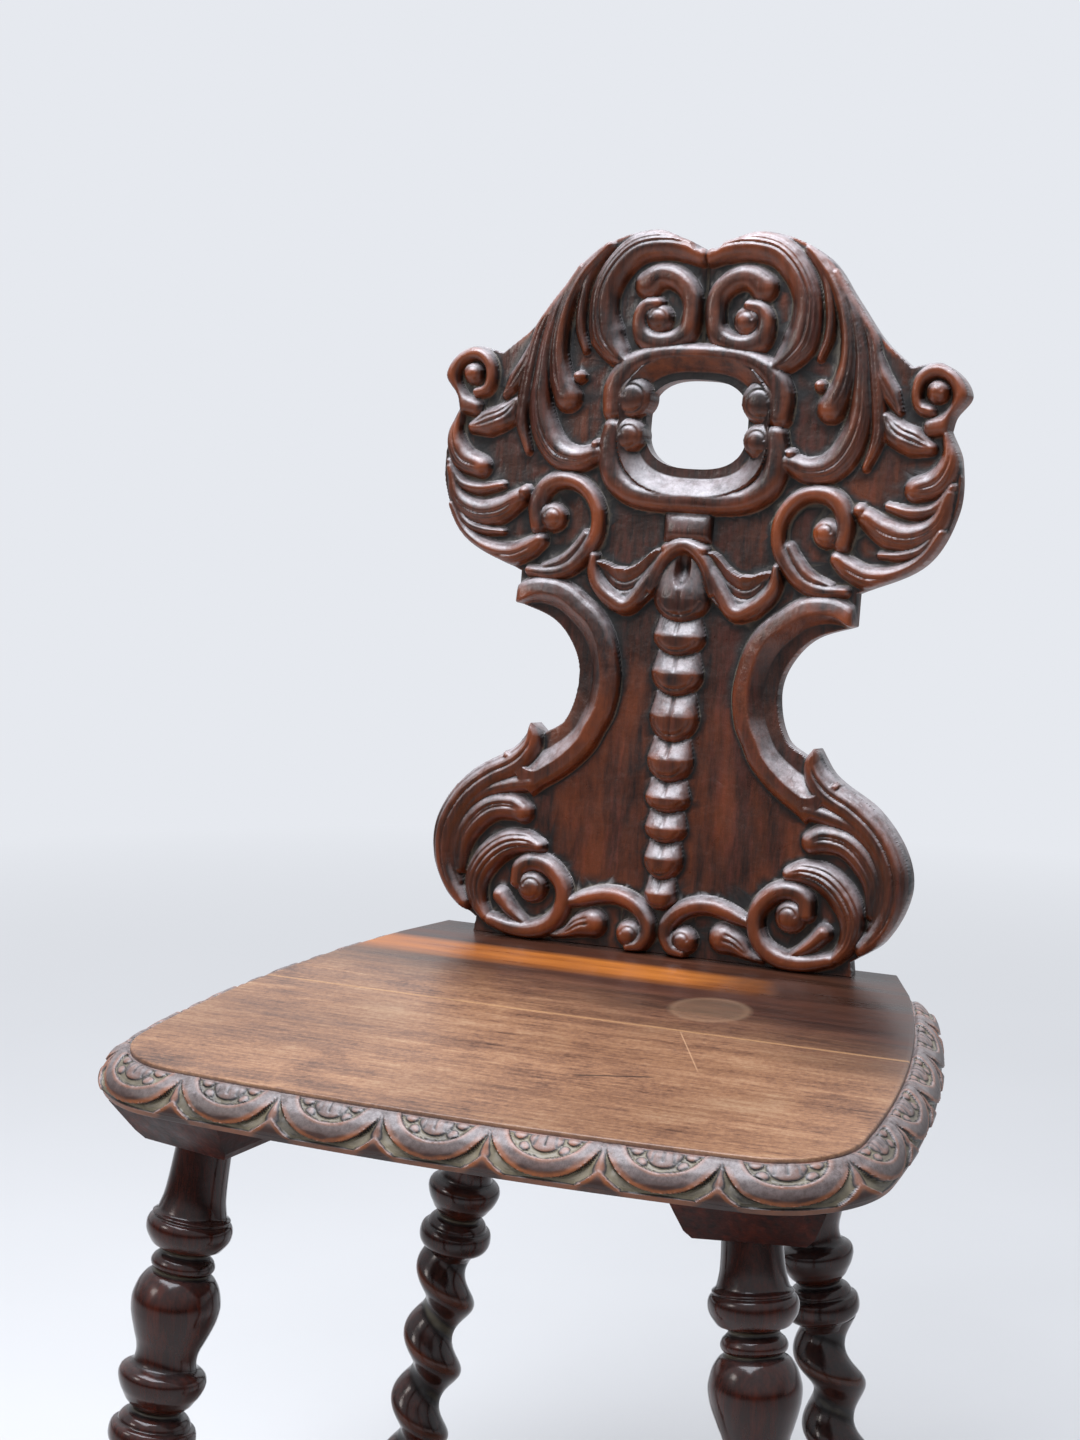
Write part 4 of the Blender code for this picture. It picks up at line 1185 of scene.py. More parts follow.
    def oval(self, half: float, low: float, high: float) -> np.ndarray:
        """Return how far out each node lies from a squarish oval, one being on it.

        Args:
            half: Half the oval's width.
            low: Its bottom.
            high: Its top.

        Returns:
            Values of one on the oval and less inside it.
        """
        middle, tall = (low + high) / 2, (high - low) / 2
        across = np.abs(self.grid_x / half) ** OVAL_POWER
        return (across + np.abs((self.grid_s - middle) / tall) ** OVAL_POWER) ** (1 / OVAL_POWER)

    def moulding(self) -> None:
        """Lay the moulding round the waist: a flat outside its arris, a long bevel inside it."""
        points = np.array([(x, s, 0.0) for x, s in MOULDING])
        line, ways = catmull(points, [False] * len(points), 0.8)
        away, which = self.near(line, MOULDING_REACH)
        hit = away < BEVEL_WIDTH
        k = which[hit]
        across = self.beside(line, ways, hit, k)
        ended = ((k == 0) | (k == len(line) - 1)) & (away[hit] > 1.5)
        made = np.interp(across, (-11.4, -10.6, -9.8, -7.0, -0.8, BEVEL_WIDTH),
                         (0.0, 4.2, 6.0, 7.6, 8.6, 8.6))
        opening = np.minimum(self.from_waist[hit], 30.0)
        bevel = BEVEL_FLOOR + 18.1 * opening / np.maximum(opening + away[hit], 0.1)
        facet = (across > 0) & ~ended & (opening < BEVEL_WIDTH)
        made = np.where(ended, 0.0, np.where(facet, bevel, made))
        incised = 0.8 * np.exp(-(((across + 12.8) / 0.7) ** 2))
        here = self.height[hit]
        self.height[hit] = np.where(facet, made, np.maximum(here, made)) - np.where(ended, 0.0, incised)

    def rounded(self) -> None:
        """Round the edge where the carving runs out to the outline."""
        depth = np.clip(-self.edge, 0, None)
        radius = 1.0 + 0.36 * np.clip(self.height, 0, 9)
        inner = np.clip(1 - depth / radius, 0, 1)
        drop = radius * (1 - np.sqrt(1 - inner**2))
        self.height = np.where(self.hole < 1.25, self.height, self.height - drop)

    def middle(self) -> int:
        """Return the number of the column on the middle line."""
        return int(round(-self.start / self.step))

    def within(self, line: np.ndarray) -> np.ndarray:
        """Tell which nodes lie inside the right half's outline.

        Args:
            line: The outline from the top of the middle line to its bottom.

        Returns:
            True for the nodes inside.
        """
        closed = np.vstack([line, [(-60.0, line[-1, 1]), (-60.0, line[0, 1]), line[0]]])
        inside = np.zeros(self.grid_x.shape, dtype=bool)
        x0, s0 = closed[:-1, 0], closed[:-1, 1]
        x1, s1 = closed[1:, 0], closed[1:, 1]
        for row, level in enumerate(self.s + 1e-7):
            crossing = (s0 > level) != (s1 > level)
            share = (level - s0[crossing]) / (s1[crossing] - s0[crossing])
            at = x0[crossing] + share * (x1 - x0)[crossing]
            inside[row] = np.searchsorted(np.sort(at), self.x) % 2 == 1
        return inside

    def mirrored(self, values: np.ndarray) -> np.ndarray:
        """Return the whole board's values from those of the right half.

        Args:
            values: One value for each node.

        Returns:
            The values with the mirrored half on the left.
        """
        right = values[:, self.middle():]
        return np.hstack([right[:, :0:-1], right])


@dataclass
class CarvedBack:
    """The carved back board with its two flat tenons.

    Attributes:
        thick: Thickness of the ground, in millimetres.
        scale_x: Drawing to board, across.
        scale_s: Drawing to board, upwards.
        step: Raster step, in millimetres.
        triangles: Number of triangles of the finished board.
        tenon_at: Middle of a tenon from the middle line.
        tenon_half: Half its width.
        tenon_thick: Its thickness.
        tenon_below: How far it passes below the seat's top.
        chamfer: Height of the chamfer round the back face.
        chamfer_inset: Its width.
        sharp: Angle above which an edge stays crisp, in degrees.
    """

    thick: float = 12.0
    scale_x: float = 339 / 342
    scale_s: float = 451 / 450.6 * 0.9972
    step: float = 0.65
    triangles: int = 185000
    tenon_at: float = 26.0
    tenon_half: float = 19.0
    tenon_thick: float = 9.0
    tenon_below: float = 54.0
    chamfer: float = 0.9
    chamfer_inset: float = 0.8
    sharp: float = 38.0

    def frame(self) -> Matrix:
        """Work out where the board stands.

        Returns:
            The matrix from board millimetres (across, up, to the front) to metres.
        """
        turn = Matrix.Rotation(math.pi / 2 - RAKE, 4, "X")
        turn.translation = Vector((0.0, SHIFT_Y * MM, SEAT_TOP * MM))
        return turn @ Matrix.Scale(MM, 4)

    def skin(self, field: ReliefField) -> tuple[np.ndarray, np.ndarray, dict]:
        """Make the carved front as a triangle skin, clipped to the outline.

        Args:
            field: The relief.

        Returns:
            Vertices, triangles and the rasters of the whole board.
        """
        edge, height = field.mirrored(field.edge), field.mirrored(field.height)
        rows, cols = edge.shape
        xs = (np.arange(cols) - (cols - 1) / 2) * field.step
        grid_x, grid_s = np.meshgrid(xs, field.s)
        slope_s, slope_x = np.gradient(edge, field.step)
        close = np.abs(edge) < 0.42 * field.step
        length = np.maximum(np.hypot(slope_x, slope_s), 1e-6)
        grid_x = grid_x - np.where(close, edge * slope_x / length, 0.0)
        grid_s = grid_s - np.where(close, edge * slope_s / length, 0.0)
        sign = np.where(close, 0.0, edge)
        number = np.arange(rows * cols).reshape(rows, cols)
        corners = split_quads(number[:-1, :-1], number[:-1, 1:], number[1:, 1:], number[1:, :-1])
        level = sign.ravel()[corners]
        whole = (level <= 0).all(1) & (level < 0).any(1)
        points = np.stack([grid_x.ravel(), grid_s.ravel(), height.ravel()], 1)
        clipped, added = [], []
        known: dict[tuple[int, int], int] = {}
        flat_level, base = sign.ravel(), len(points)

        def crossing(i: int, j: int) -> int:
            """Find or add the vertex where the outline crosses an edge.

            Args:
                i: The edge's one end.
                j: Its other end.

            Returns:
                The vertex's number.
            """
            key = (min(i, j), max(i, j))
            if key not in known:
                share = flat_level[i] / (flat_level[i] - flat_level[j])
                added.append(points[i] + (points[j] - points[i]) * share)
                known[key] = base + len(added) - 1
            return known[key]

        mixed = (level < 0).any(1) & (level > 0).any(1)
        for triangle in corners[mixed]:
            ring: list[int] = []
            for k in range(3):
                i, j = int(triangle[k]), int(triangle[(k + 1) % 3])
                if flat_level[i] <= 0:
                    ring.append(i)
                if flat_level[i] * flat_level[j] < 0:
                    ring.append(crossing(i, j))
            clipped += [(ring[0], ring[k], ring[k + 1]) for k in range(1, len(ring) - 1)]
        faces = np.vstack([corners[whole], np.array(clipped, dtype=int)])
        points = np.vstack([points, np.array(added)])
        used, faces = np.unique(faces, return_inverse=True)
        rasters = {"edge": edge, "height": height, "slope_x": slope_x, "slope_s": slope_s}
        return points[used], faces.reshape(-1, 3), rasters

    def sample(self, field: ReliefField, raster: np.ndarray, x: np.ndarray, s: np.ndarray) -> np.ndarray:
        """Read a whole-board raster between its nodes.

        Args:
            field: The relief, for its step.
            raster: The raster.
            x: Places across.
            s: Places up the board.

        Returns:
            The values.
        """
        i = np.clip(x / field.step + (raster.shape[1] - 1) / 2, 0, raster.shape[1] - 1.001)
        j = np.clip((s - field.s[0]) / field.step, 0, raster.shape[0] - 1.001)
        i0, j0 = i.astype(int), j.astype(int)
        fi, fj = i - i0, j - j0
        return ((raster[j0, i0] * (1 - fi) + raster[j0, i0 + 1] * fi) * (1 - fj)
                + (raster[j0 + 1, i0] * (1 - fi) + raster[j0 + 1, i0 + 1] * fi) * fj)

    def closed(self, mesh: bpy.types.Mesh, field: ReliefField, rasters: dict) -> None:
        """Close the skin with walls, a small chamfer and a back, and cut its foot level with the seat.

        Args:
            mesh: The skin, changed in place.
            field: The relief.
            rasters: The whole board's rasters.
        """
        with edited(mesh) as work:
            rim = open_edges(work.edges[:])
            for depth, inset in ((self.chamfer - self.thick, 0.0), (-self.thick, self.chamfer_inset)):
                grown = bmesh.ops.extrude_edge_only(work, edges=rim)["geom"]
                rim = open_edges(grown)
                points = [part for part in grown if isinstance(part, bmesh.types.BMVert)]
                places = np.array([vertex.co[:] for vertex in points])
                out_x, out_s = (self.sample(field, rasters[name], places[:, 0], places[:, 1])
                                for name in ("slope_x", "slope_s"))
                long = np.maximum(np.hypot(out_x, out_s), 0.3)
                for vertex, move_x, move_s in zip(points, out_x / long, out_s / long):
                    vertex.co.x -= move_x * inset
                    vertex.co.y -= move_s * inset
                    vertex.co.z = depth
            fill(work, rim, (0, 0, -1))
            normal = Vector((0.0, math.cos(RAKE), math.sin(RAKE)))
            sill = sliced(work, normal * GAP, normal, 1e-5, outer=False)
            fill(work, sill, -normal)
            bmesh.ops.recalc_face_normals(work, faces=work.faces[:])
            bmesh.ops.triangulate(work, faces=work.faces[:])

    def tenon(self, side: int) -> bpy.types.Object:
        """Make one flat tenon with the slot for its key, in metres.

        Args:
            side: Minus one for the left, one for the right.

        Returns:
            The tenon.
        """
        centre, middle = side * self.tenon_at, -self.thick / 2
        length = self.tenon_below / math.cos(RAKE)
        made = box_object((centre - self.tenon_half, -length, middle - self.tenon_thick / 2),
                          (centre + self.tenon_half, 3.0, middle + self.tenon_thick / 2))
        made.data.transform(self.frame())
        name = "back_key_right" if side > 0 else "back_key_left"
        cut_with(made, [slot_for(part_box(name), 1.5 * MM)])
        return made

    def build(self) -> bpy.types.Object:
        """Build the board.

        Returns:
            The finished piece.
        """
        field = ReliefField(self.step)
        field.carve()
        points, faces, rasters = self.skin(field)
        mesh = mesh_of("carved_back", points, faces)
        self.closed(mesh, field, rasters)
        made = new_object("carved_back", mesh)
        thin = made.modifiers.new("thin", "DECIMATE")
        thin.ratio = min(1.0, self.triangles / max(len(mesh.polygons), 1))
        mesh = applied(made)
        self.marks(mesh, field, rasters)
        places = vertices_of(mesh) * np.array([self.scale_x, self.scale_s, 1.0])
        # The two halves of a hand carving are never quite alike.
        places[:, 0] += 0.5 * ripple(places[:, 0], places[:, 1], 90.0, 11) * (1 - np.abs(places[:, 0]) / 172)
        mesh.vertices.foreach_set("co", places.astype(np.float32).ravel())
        mesh.transform(self.frame())
        for side in SIDES.values():
            join(made, self.tenon(side))
        smooth_shade(made.data, self.sharp)
        made.data.materials.clear()
        made.data.materials.append(CARVED_WALNUT.make())
        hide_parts("back_board")
        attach(made, ROOT)
        return made

    def marks(self, mesh: bpy.types.Mesh, field: ReliefField, rasters: dict) -> None:
        """Store where the carving is rubbed, and the hollows where dust and painted shade lie, from the
        relief's own heights.

        Args:
            mesh: The board, in drawing millimetres.
            field: The relief.
            rasters: The whole board's rasters.
        """
        places = vertices_of(mesh)
        height = rasters["height"]
        ridge = np.clip((height - blurred(height, 5.5 / field.step)) / 3.4, 0, 1)
        # Hands and chair backs have rubbed the stain off the bevelled rim of the crest.
        rim = np.clip(1.4 + rasters["edge"] / 4.0, 0, 1) * np.clip((field.s[:, None] - 368.0) / 14.0, 0, 1)
        ridge = np.maximum(ridge, rim * (rasters["edge"] > -6.0))
        # Hollows and crevices, which take dust and painted shade.
        recess = np.clip((blurred(height, 1.7 / field.step) - height) / 1.5, 0, 1)
        # Painted shade fills the hand hole's funnel, most of all its upper half, which faces down; dust
        # gathers there too.
        shade_and_dirt = np.clip((field.grid_s - 335.0) / 20.0, 0.45, 1) * (field.rim_oval < 1)
        recess = np.maximum(recess, 0.55 * field.mirrored(shade_and_dirt))
        front = places[:, 2] > -self.thick + 1.0
        for name, raster in (("ridge", ridge), ("recess", recess)):
            values = self.sample(field, raster, places[:, 0], places[:, 1])
            put_attribute(mesh, name, np.where(front, values, 0.1))


# Seat

# Points of the edge's section that lie on the seat's field
FIELD_POINTS = 4


@dataclass
class PlankSeat:
    """The seat: two boards glued edge to edge, with a carved edge on three sides.

    Attributes:
        nodes: The solids by name, for the battens' tongues.
        pitch: Distance between lunettes along the edge, in millimetres.
        overhang: How far the carved edge stands out from the field.
        groove: Depth of the groove round the field.
        half_width: Half the field's greatest width.
        front: Distance from the back board's foot to the field's front.
        joint: Distance from the back board's foot to the glue joint.
        rear: How far the plank passes behind the back board's foot.
        side_radius: Radius of the field's side.
        bow_radius: Radius of its front.
        corner_radius: Radius of its front corners.
        widest_at: Distance from the back board's foot to its greatest width.
        carving_start: Distance from the back board's foot to the carving's end.
        carving_fade: Length over which the carving runs out there.
        corner_cut: How far the rear corners are cut in.
        rear_step: Distance between points of the plain rear edge.
        step: Distance between points of the carved edge.
        border: Half the outer width of a lunette.
        flower: Half the width and the height of the sunk field inside it.
        lobes: Place across and down, half width, half height and rise of each petal.
        sharp: Angle above which an edge stays crisp, in degrees.
    """

    nodes: dict[str, bpy.types.Object]
    pitch: float = 60.0
    overhang: float = 18.0
    groove: float = 2.6
    half_width: float = 207.0
    front: float = 330.0
    joint: float = 145.0
    rear: float = 17.0
    side_radius: float = 740.0
    bow_radius: float = 1750.0
    corner_radius: float = 48.0
    widest_at: float = 262.0
    carving_start: float = 21.0
    carving_fade: float = 7.0
    corner_cut: float = 17.0
    rear_step: float = 6.0
    step: float = 0.85
    border: float = 29.6
    flower: tuple[float, float] = (20.0, 16.2)
    lobes: tuple[tuple[float, ...], ...] = (
        (0.0, 4.4, 9.8, 9.2, 1.6), (-14.2, 3.4, 4.2, 4.4, 1.3), (14.2, 3.4, 4.2, 4.4, 1.3),
        (-10.6, 11.2, 3.4, 3.2, 1.0), (10.6, 11.2, 3.4, 3.2, 1.0))
    sharp: float = 42.0

    def edge_line(self) -> np.ndarray:
        """Work out the right half of the field's edge.

        Returns:
            Points from the middle of the front to the rear corner.
        """
        bow = Vector((0.0, self.bow_radius - self.front))
        side = Vector((self.half_width - self.side_radius, -self.widest_at))
        to_bow, to_side = self.bow_radius - self.corner_radius, self.side_radius - self.corner_radius
        apart = (side - bow).length
        along = (apart**2 + to_bow**2 - to_side**2) / (2 * apart)
        away = math.sqrt(to_bow**2 - along**2)
        line = (side - bow) / apart
        corner = bow + line * along + Vector((-line.y, line.x)) * away
        if corner.x < 0:
            corner = bow + line * along - Vector((-line.y, line.x)) * away
        bow_end = math.atan2((corner - bow).y, (corner - bow).x)
        side_start = math.atan2((corner - side).y, (corner - side).x)
        side_end = math.asin((self.widest_at - self.carving_start) / self.side_radius)
        places = []
        for centre, radius, start, end in ((bow, self.bow_radius, -math.pi / 2, bow_end),
                                           (corner, self.corner_radius, bow_end, side_start),
                                           (side, self.side_radius, side_start, side_end)):
            count = max(2, int(abs(end - start) * radius / self.step))
            places += [(centre, radius, start + (end - start) * k / count) for k in range(count)]
        places.append((side, self.side_radius, side_end))
        return np.array([(centre.x + radius * math.cos(angle), centre.y + radius * math.sin(angle))
                         for centre, radius, angle in places])

    def section(self) -> tuple[np.ndarray, np.ndarray, np.ndarray, np.ndarray]:
        """Return the carved edge's section and the plain wall's, point for point.

        Returns:
            Carved section, plain section, the carved section's outward direction, and how far down the
            carved face each point lies (below nought where there is none).
        """
        high = -self.groove
        over = self.overhang
        knots = np.array([
            (0.6, high), (1.3, high + 0.75), (0.15 * over, high + 1.4), (0.3 * over, high + 0.9),
            (0.5 * over, high - 1.6), (0.68 * over, high - 4.2), (0.8 * over, high - 7),
            (0.9 * over, high - 10), (0.97 * over, high - 13), (over, high - 15.4),
            (over * 0.985, high - 17.4)])
        face, ways = catmull(knots, [True] + [False] * 9 + [True], 0.62)
        under = -SEAT_THICK + 0.5
        head = np.array([(-3.0, 0.0), (-1.0, -0.02), (-0.35, -0.2), (0.0, -0.7), (0.1, high + 0.2),
                         (0.25, high)])
        foot = np.array([(0.9 * over, high - 18), (0.87 * over, high - 18.6), (0.86 * over, under + 0.5),
                         (0.83 * over, under), (-3.0, under)])
        carved = np.vstack([head, face, foot])
        down = np.concatenate([[0], np.cumsum(np.hypot(*np.diff(face, axis=0).T))])
        depth = np.concatenate([np.full(len(head), -1.0), down, np.full(len(foot), -1.0)])
        out = np.zeros_like(carved)
        out[len(head):len(head) + len(face)] = np.stack([-ways[:, 1], ways[:, 0]], 1)
        share = np.linspace(0, 1, len(carved) - 4)
        wall = np.stack([np.full(len(share), 0.0), -0.8 - share * (SEAT_THICK - 2.1)], 1)
        plain = np.vstack([[(-3.0, 0.0), (-0.8, 0.0)], wall, [(-0.8, under), (-3.0, under)]])
        return carved, plain, out, depth

    def cut_depth(self, t: np.ndarray, v: np.ndarray, full: float) -> np.ndarray:
        """Return how deep the carving is cut at a place on the edge's face.

        Args:
            t: Distance along the edge from the middle of the front.
            v: Distance down the face.
            full: The face's whole length down.

        Returns:
            Depth, below nought.
        """
        count = np.round(t / self.pitch)
        local = t - count * self.pitch + 0.5 * np.sin(count * 2.3)
        wob = 0.5 * np.sin(count * 1.7 + 0.4)
        outer = np.hypot(local / self.border, v / (full * 0.93))
        inner = np.hypot(local / (self.flower[0] + wob), v / (self.flower[1] + wob))
        depth = np.zeros_like(t)
        # Border: a smooth rounded rib between the two curves
        middle = (1 - inner) / np.minimum(1 - inner - (1 - outer), -1e-3)
        depth -= 0.5 * np.clip(np.abs(2 * middle - 1), 0, 1) ** 2 * ((inner >= 1) & (outer <= 1))
        depth -= 1.3 * np.exp(-(((inner - 1.0) * 17.0 / 0.55) ** 2))
        sunk = np.clip((1 - inner) * 17.0 / 1.0, 0, 1)
        lobes = np.zeros_like(t)
        for place, at, wide, tall, rise in self.lobes:
            r = np.hypot((local - place) / wide, (v - at) / tall)
            lobes = np.maximum(lobes, 1.1 * rise * np.sqrt(np.clip(1 - r**2, 0, 1)))
        veins = 0.45 * np.exp(-((local / 0.6) ** 2))
        veins = veins + 0.3 * np.exp(-(((np.abs(local) - 4.6 - v * 0.12) / 0.6) ** 2))
        depth -= sunk * (2.1 - lobes + veins * (v < 10))
        # Spandrel: two gouge cuts with a ridge between them and a triangle left below
        beyond = np.clip((outer - 1) * 27.0, 0, None)
        ridge = self.pitch / 2 - np.abs(local)
        gouge = 0.5 + 3.0 * np.clip(ridge / 5.0, 0, 1) * np.exp(-beyond / 12.0)
        gouge = np.clip(beyond / 0.9, 0, 1) * gouge
        triangle = np.clip((v - full * 0.66 - np.abs(ridge) * 0.8) / 1.2, 0, 1)
        depth -= gouge * (outer > 1) * (1 - triangle) * np.clip(v / 1.5, 0, 1)
        return depth

    def build_plank(self) -> bpy.types.Object:
        """Make the whole seat as one closed mesh, in millimetres of the row frame.

        Returns:
            The seat.
        """
        right = self.edge_line()
        rear_x = right[-1][0] - self.corner_cut
        tail = []
        for start, end in ((right[-1], (rear_x, self.rear)), ((rear_x, self.rear), (0.0, self.rear))):
            start, end = np.array(start), np.array(end)
            count = max(2, int(np.hypot(*(end - start)) / self.rear_step))
            tail += [start + (end - start) * k / count for k in range(1, count + 1)]
        half = np.vstack([right, tail])
        carved_count = len(right)
        length = np.concatenate([[0], np.cumsum(np.hypot(*np.diff(half, axis=0).T))])
        carved, plain, out, depth = self.section()
        end = length[carved_count - 1]
        keep = np.clip((end - 1.0 - length) / self.carving_fade, 0, 1)
        keep = np.where(np.arange(len(half)) < carved_count, np.sqrt(1 - (1 - keep) ** 2), 0.0)
        ways = np.gradient(half, axis=0)
        ways[0] = (1.0, 0.0)
        ways[-1] = (-1.0, 0.0)
        ways /= np.hypot(*ways.T)[:, None]
        normals = np.stack([ways[:, 1], -ways[:, 0]], 1)
        rings, masks = [], []
        full = depth.max()
        on_edge = (np.arange(len(depth)) >= FIELD_POINTS).astype(float)
        for sign in (1, -1):
            t = np.repeat((length * sign)[:, None], len(carved), 1)
            v = np.repeat(depth[None, :], len(half), 0)
            cut = np.where(v >= 0, self.cut_depth(t, np.clip(v, 0, None), full), 0.0)
            cut += np.where(v >= 0, 0.12 * ripple(t, v, 9.0, 21), 0.0)
            # The carving nowhere stands past the section, which keeps it inside the solid's box.
            cut = np.where(v >= 0, np.minimum(cut, -0.2), cut)
            cut *= np.clip(v / 1.2, 0, 1) * np.clip((full + 0.4 - v) / 1.2, 0.9, 1)
            shape = carved[None] + out[None] * cut[..., None]
            shape = shape * keep[:, None, None] + plain[None] * (1 - keep[:, None, None])
            x = half[:, 0, None] + normals[:, 0, None] * shape[..., 0]
            y = half[:, 1, None] + normals[:, 1, None] * shape[..., 0]
            rings.append(np.stack([x * sign, y + SHIFT_Y, SEAT_TOP + shape[..., 1]], -1))
            masks.append(np.stack([np.broadcast_to(on_edge, v.shape), cut * keep[:, None]], -1))
        both = [np.vstack([right, left[-2:0:-1]]) for right, left in (rings, masks)]
        return self.meshed(*both)

    def meshed(self, rings: np.ndarray, marks: np.ndarray) -> bpy.types.Object:
        """Skin the rings and fill the top and the underside.

        Args:
            rings: Points by ring and by place in the section.
            marks: Share of carving and its depth, for each point.

        Returns:
            The seat.
        """
        count, across = rings.shape[:2]
        number = np.arange(count * across).reshape(count, across)
        following = np.roll(number, -1, axis=0)
        faces = split_quads(number[:, :-1], number[:, 1:], following[:, 1:], following[:, :-1])
        mesh = mesh_of("plank_seat", rings.reshape(-1, 3), faces)
        put_attribute(mesh, "carved", marks[..., 0].ravel())
        cut = marks[..., 1]
        around = blurred(cut, 2.2)
        put_attribute(mesh, "ridge", np.clip((cut - around) / 0.5 + 0.5, 0, 1).ravel())
        # Hollows of the carving, which take dust and painted shade.
        deep = np.clip(-cut - 0.9, 0, 1) * 0.7
        put_attribute(mesh, "recess", np.clip((around - cut) / 0.55 + deep, 0, 1).ravel())
        with edited(mesh) as work:
            rim = open_edges(work.edges[:])
            for top in (True, False):
                loop = [edge for edge in rim if (edge.verts[0].co.z > SEAT_TOP - SEAT_THICK / 2) == top]
                fill(work, loop, (0, 0, 1 if top else -1))
            bmesh.ops.recalc_face_normals(work, faces=work.faces[:])
            for vertex in work.verts:
                vertex.co *= MM
        return new_object("plank_seat", mesh)

    def joinery(self) -> list[bpy.types.Object]:
        """Make the cutters for the battens' tongues and the back's tenons, in metres.

        Returns:
            The cutters.
        """
        cutters = []
        back = CarvedBack()
        low = (SEAT_TOP - SEAT_THICK - 3.0) * MM
        for name, side in SIDES.items():
            places = vertices_of(self.nodes[f"batten_{name}"].data)
            upper = places[places[:, 2] > (SEAT_TOP - SEAT_THICK + 0.2) * MM]
            middle = upper.mean(0)
            groove = new_object("groove")
            with edited(groove.data) as work:
                for x, y, z in upper:
                    away = Vector((x - middle[0], y - middle[1], 0.0)).normalized() * GAP * MM
                    work.verts.new((x + away.x, y + away.y, z + GAP * MM))
                    work.verts.new((x + away.x, y + away.y, low))
                bmesh.ops.convex_hull(work, input=work.verts[:])
                loose = [vertex for vertex in work.verts if not vertex.link_faces]
                bmesh.ops.delete(work, geom=loose, context="VERTS")
            centre, flat = side * back.tenon_at, -back.thick / 2
            half, thick = back.tenon_half + GAP, back.tenon_thick / 2 + GAP
            slot = box_object((centre - half, -60.0, flat - thick), (centre + half, 20.0, flat + thick))
            slot.data.transform(back.frame())
            cutters += [groove, slot]
        return cutters

    def build(self) -> list[bpy.types.Object]:
        """Build the two boards of the seat.

        Returns:
            The front board and the rear board.
        """
        seat = self.build_plank()
        cut_with(seat, self.joinery())
        finish = WornSeatWalnut(joint_y=SHIFT_Y - self.joint).make()
        pieces = []
        line = (SHIFT_Y - self.joint) * MM
        for name, node, way, place in (("seat_front", "seat_front_board", 1, line - GAP * MM / 2),
                                       ("seat_rear", "seat_rear_board", -1, line + GAP * MM / 2)):
            mesh = seat.data.copy()
            mesh.name = name
            with edited(mesh) as work:
                fill(work, sliced(work, (0, place, 0), (0, way, 0), 1e-8), (0, way, 0))
                bmesh.ops.triangulate(work, faces=work.faces[:])
            made = new_object(name, mesh)
            smooth_shade(mesh, self.sharp)
            mesh.materials.clear()
            mesh.materials.append(finish)
            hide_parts(node)
            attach(made, ROOT)
            pieces.append(made)
        bpy.data.objects.remove(seat, do_unlink=True)
        return pieces


# Legs

# Height of the legs' origins, just inside the battens, in metres
LEG_ORIGIN = 0.396


@dataclass(frozen=True)
class LegPlace:
    """Where one leg meets its batten and how it splays.

    Attributes:
        name: Name of the leg's node.
        side: Minus one for the left, one for the right.
        x: Distance from the middle line, in millimetres.
        y: Distance behind the back board's foot.
        splay: Sideways and backward travel for each unit down.
        lift: How far the turning sits up the leg from where the solid has it, in millimetres.
        phase: Where the strand stands at the top of the twist, in degrees.
        girth: Thickness of this leg beside that of the profile.
    """

    name: str
    side: int
    x: float
    y: float
    splay: tuple[float, float]
    lift: float
    phase: float
    girth: float

    def frame(self) -> Matrix:
        """Work out the leg's frame in metres.

        Returns:
            A frame with its origin under the batten and local z up along the leg.
        """
        up = -Vector((self.side * self.splay[0], self.splay[1], -1.0)).normalized()
        across = (Vector((1, 0, 0)) - up * up.x).normalized()
        turn = Matrix((across, up.cross(across), up)).transposed().to_4x4()
        turn.translation = Vector((self.side * self.x * MM, (self.y + SHIFT_Y) * MM, LEG_ORIGIN))
        return turn


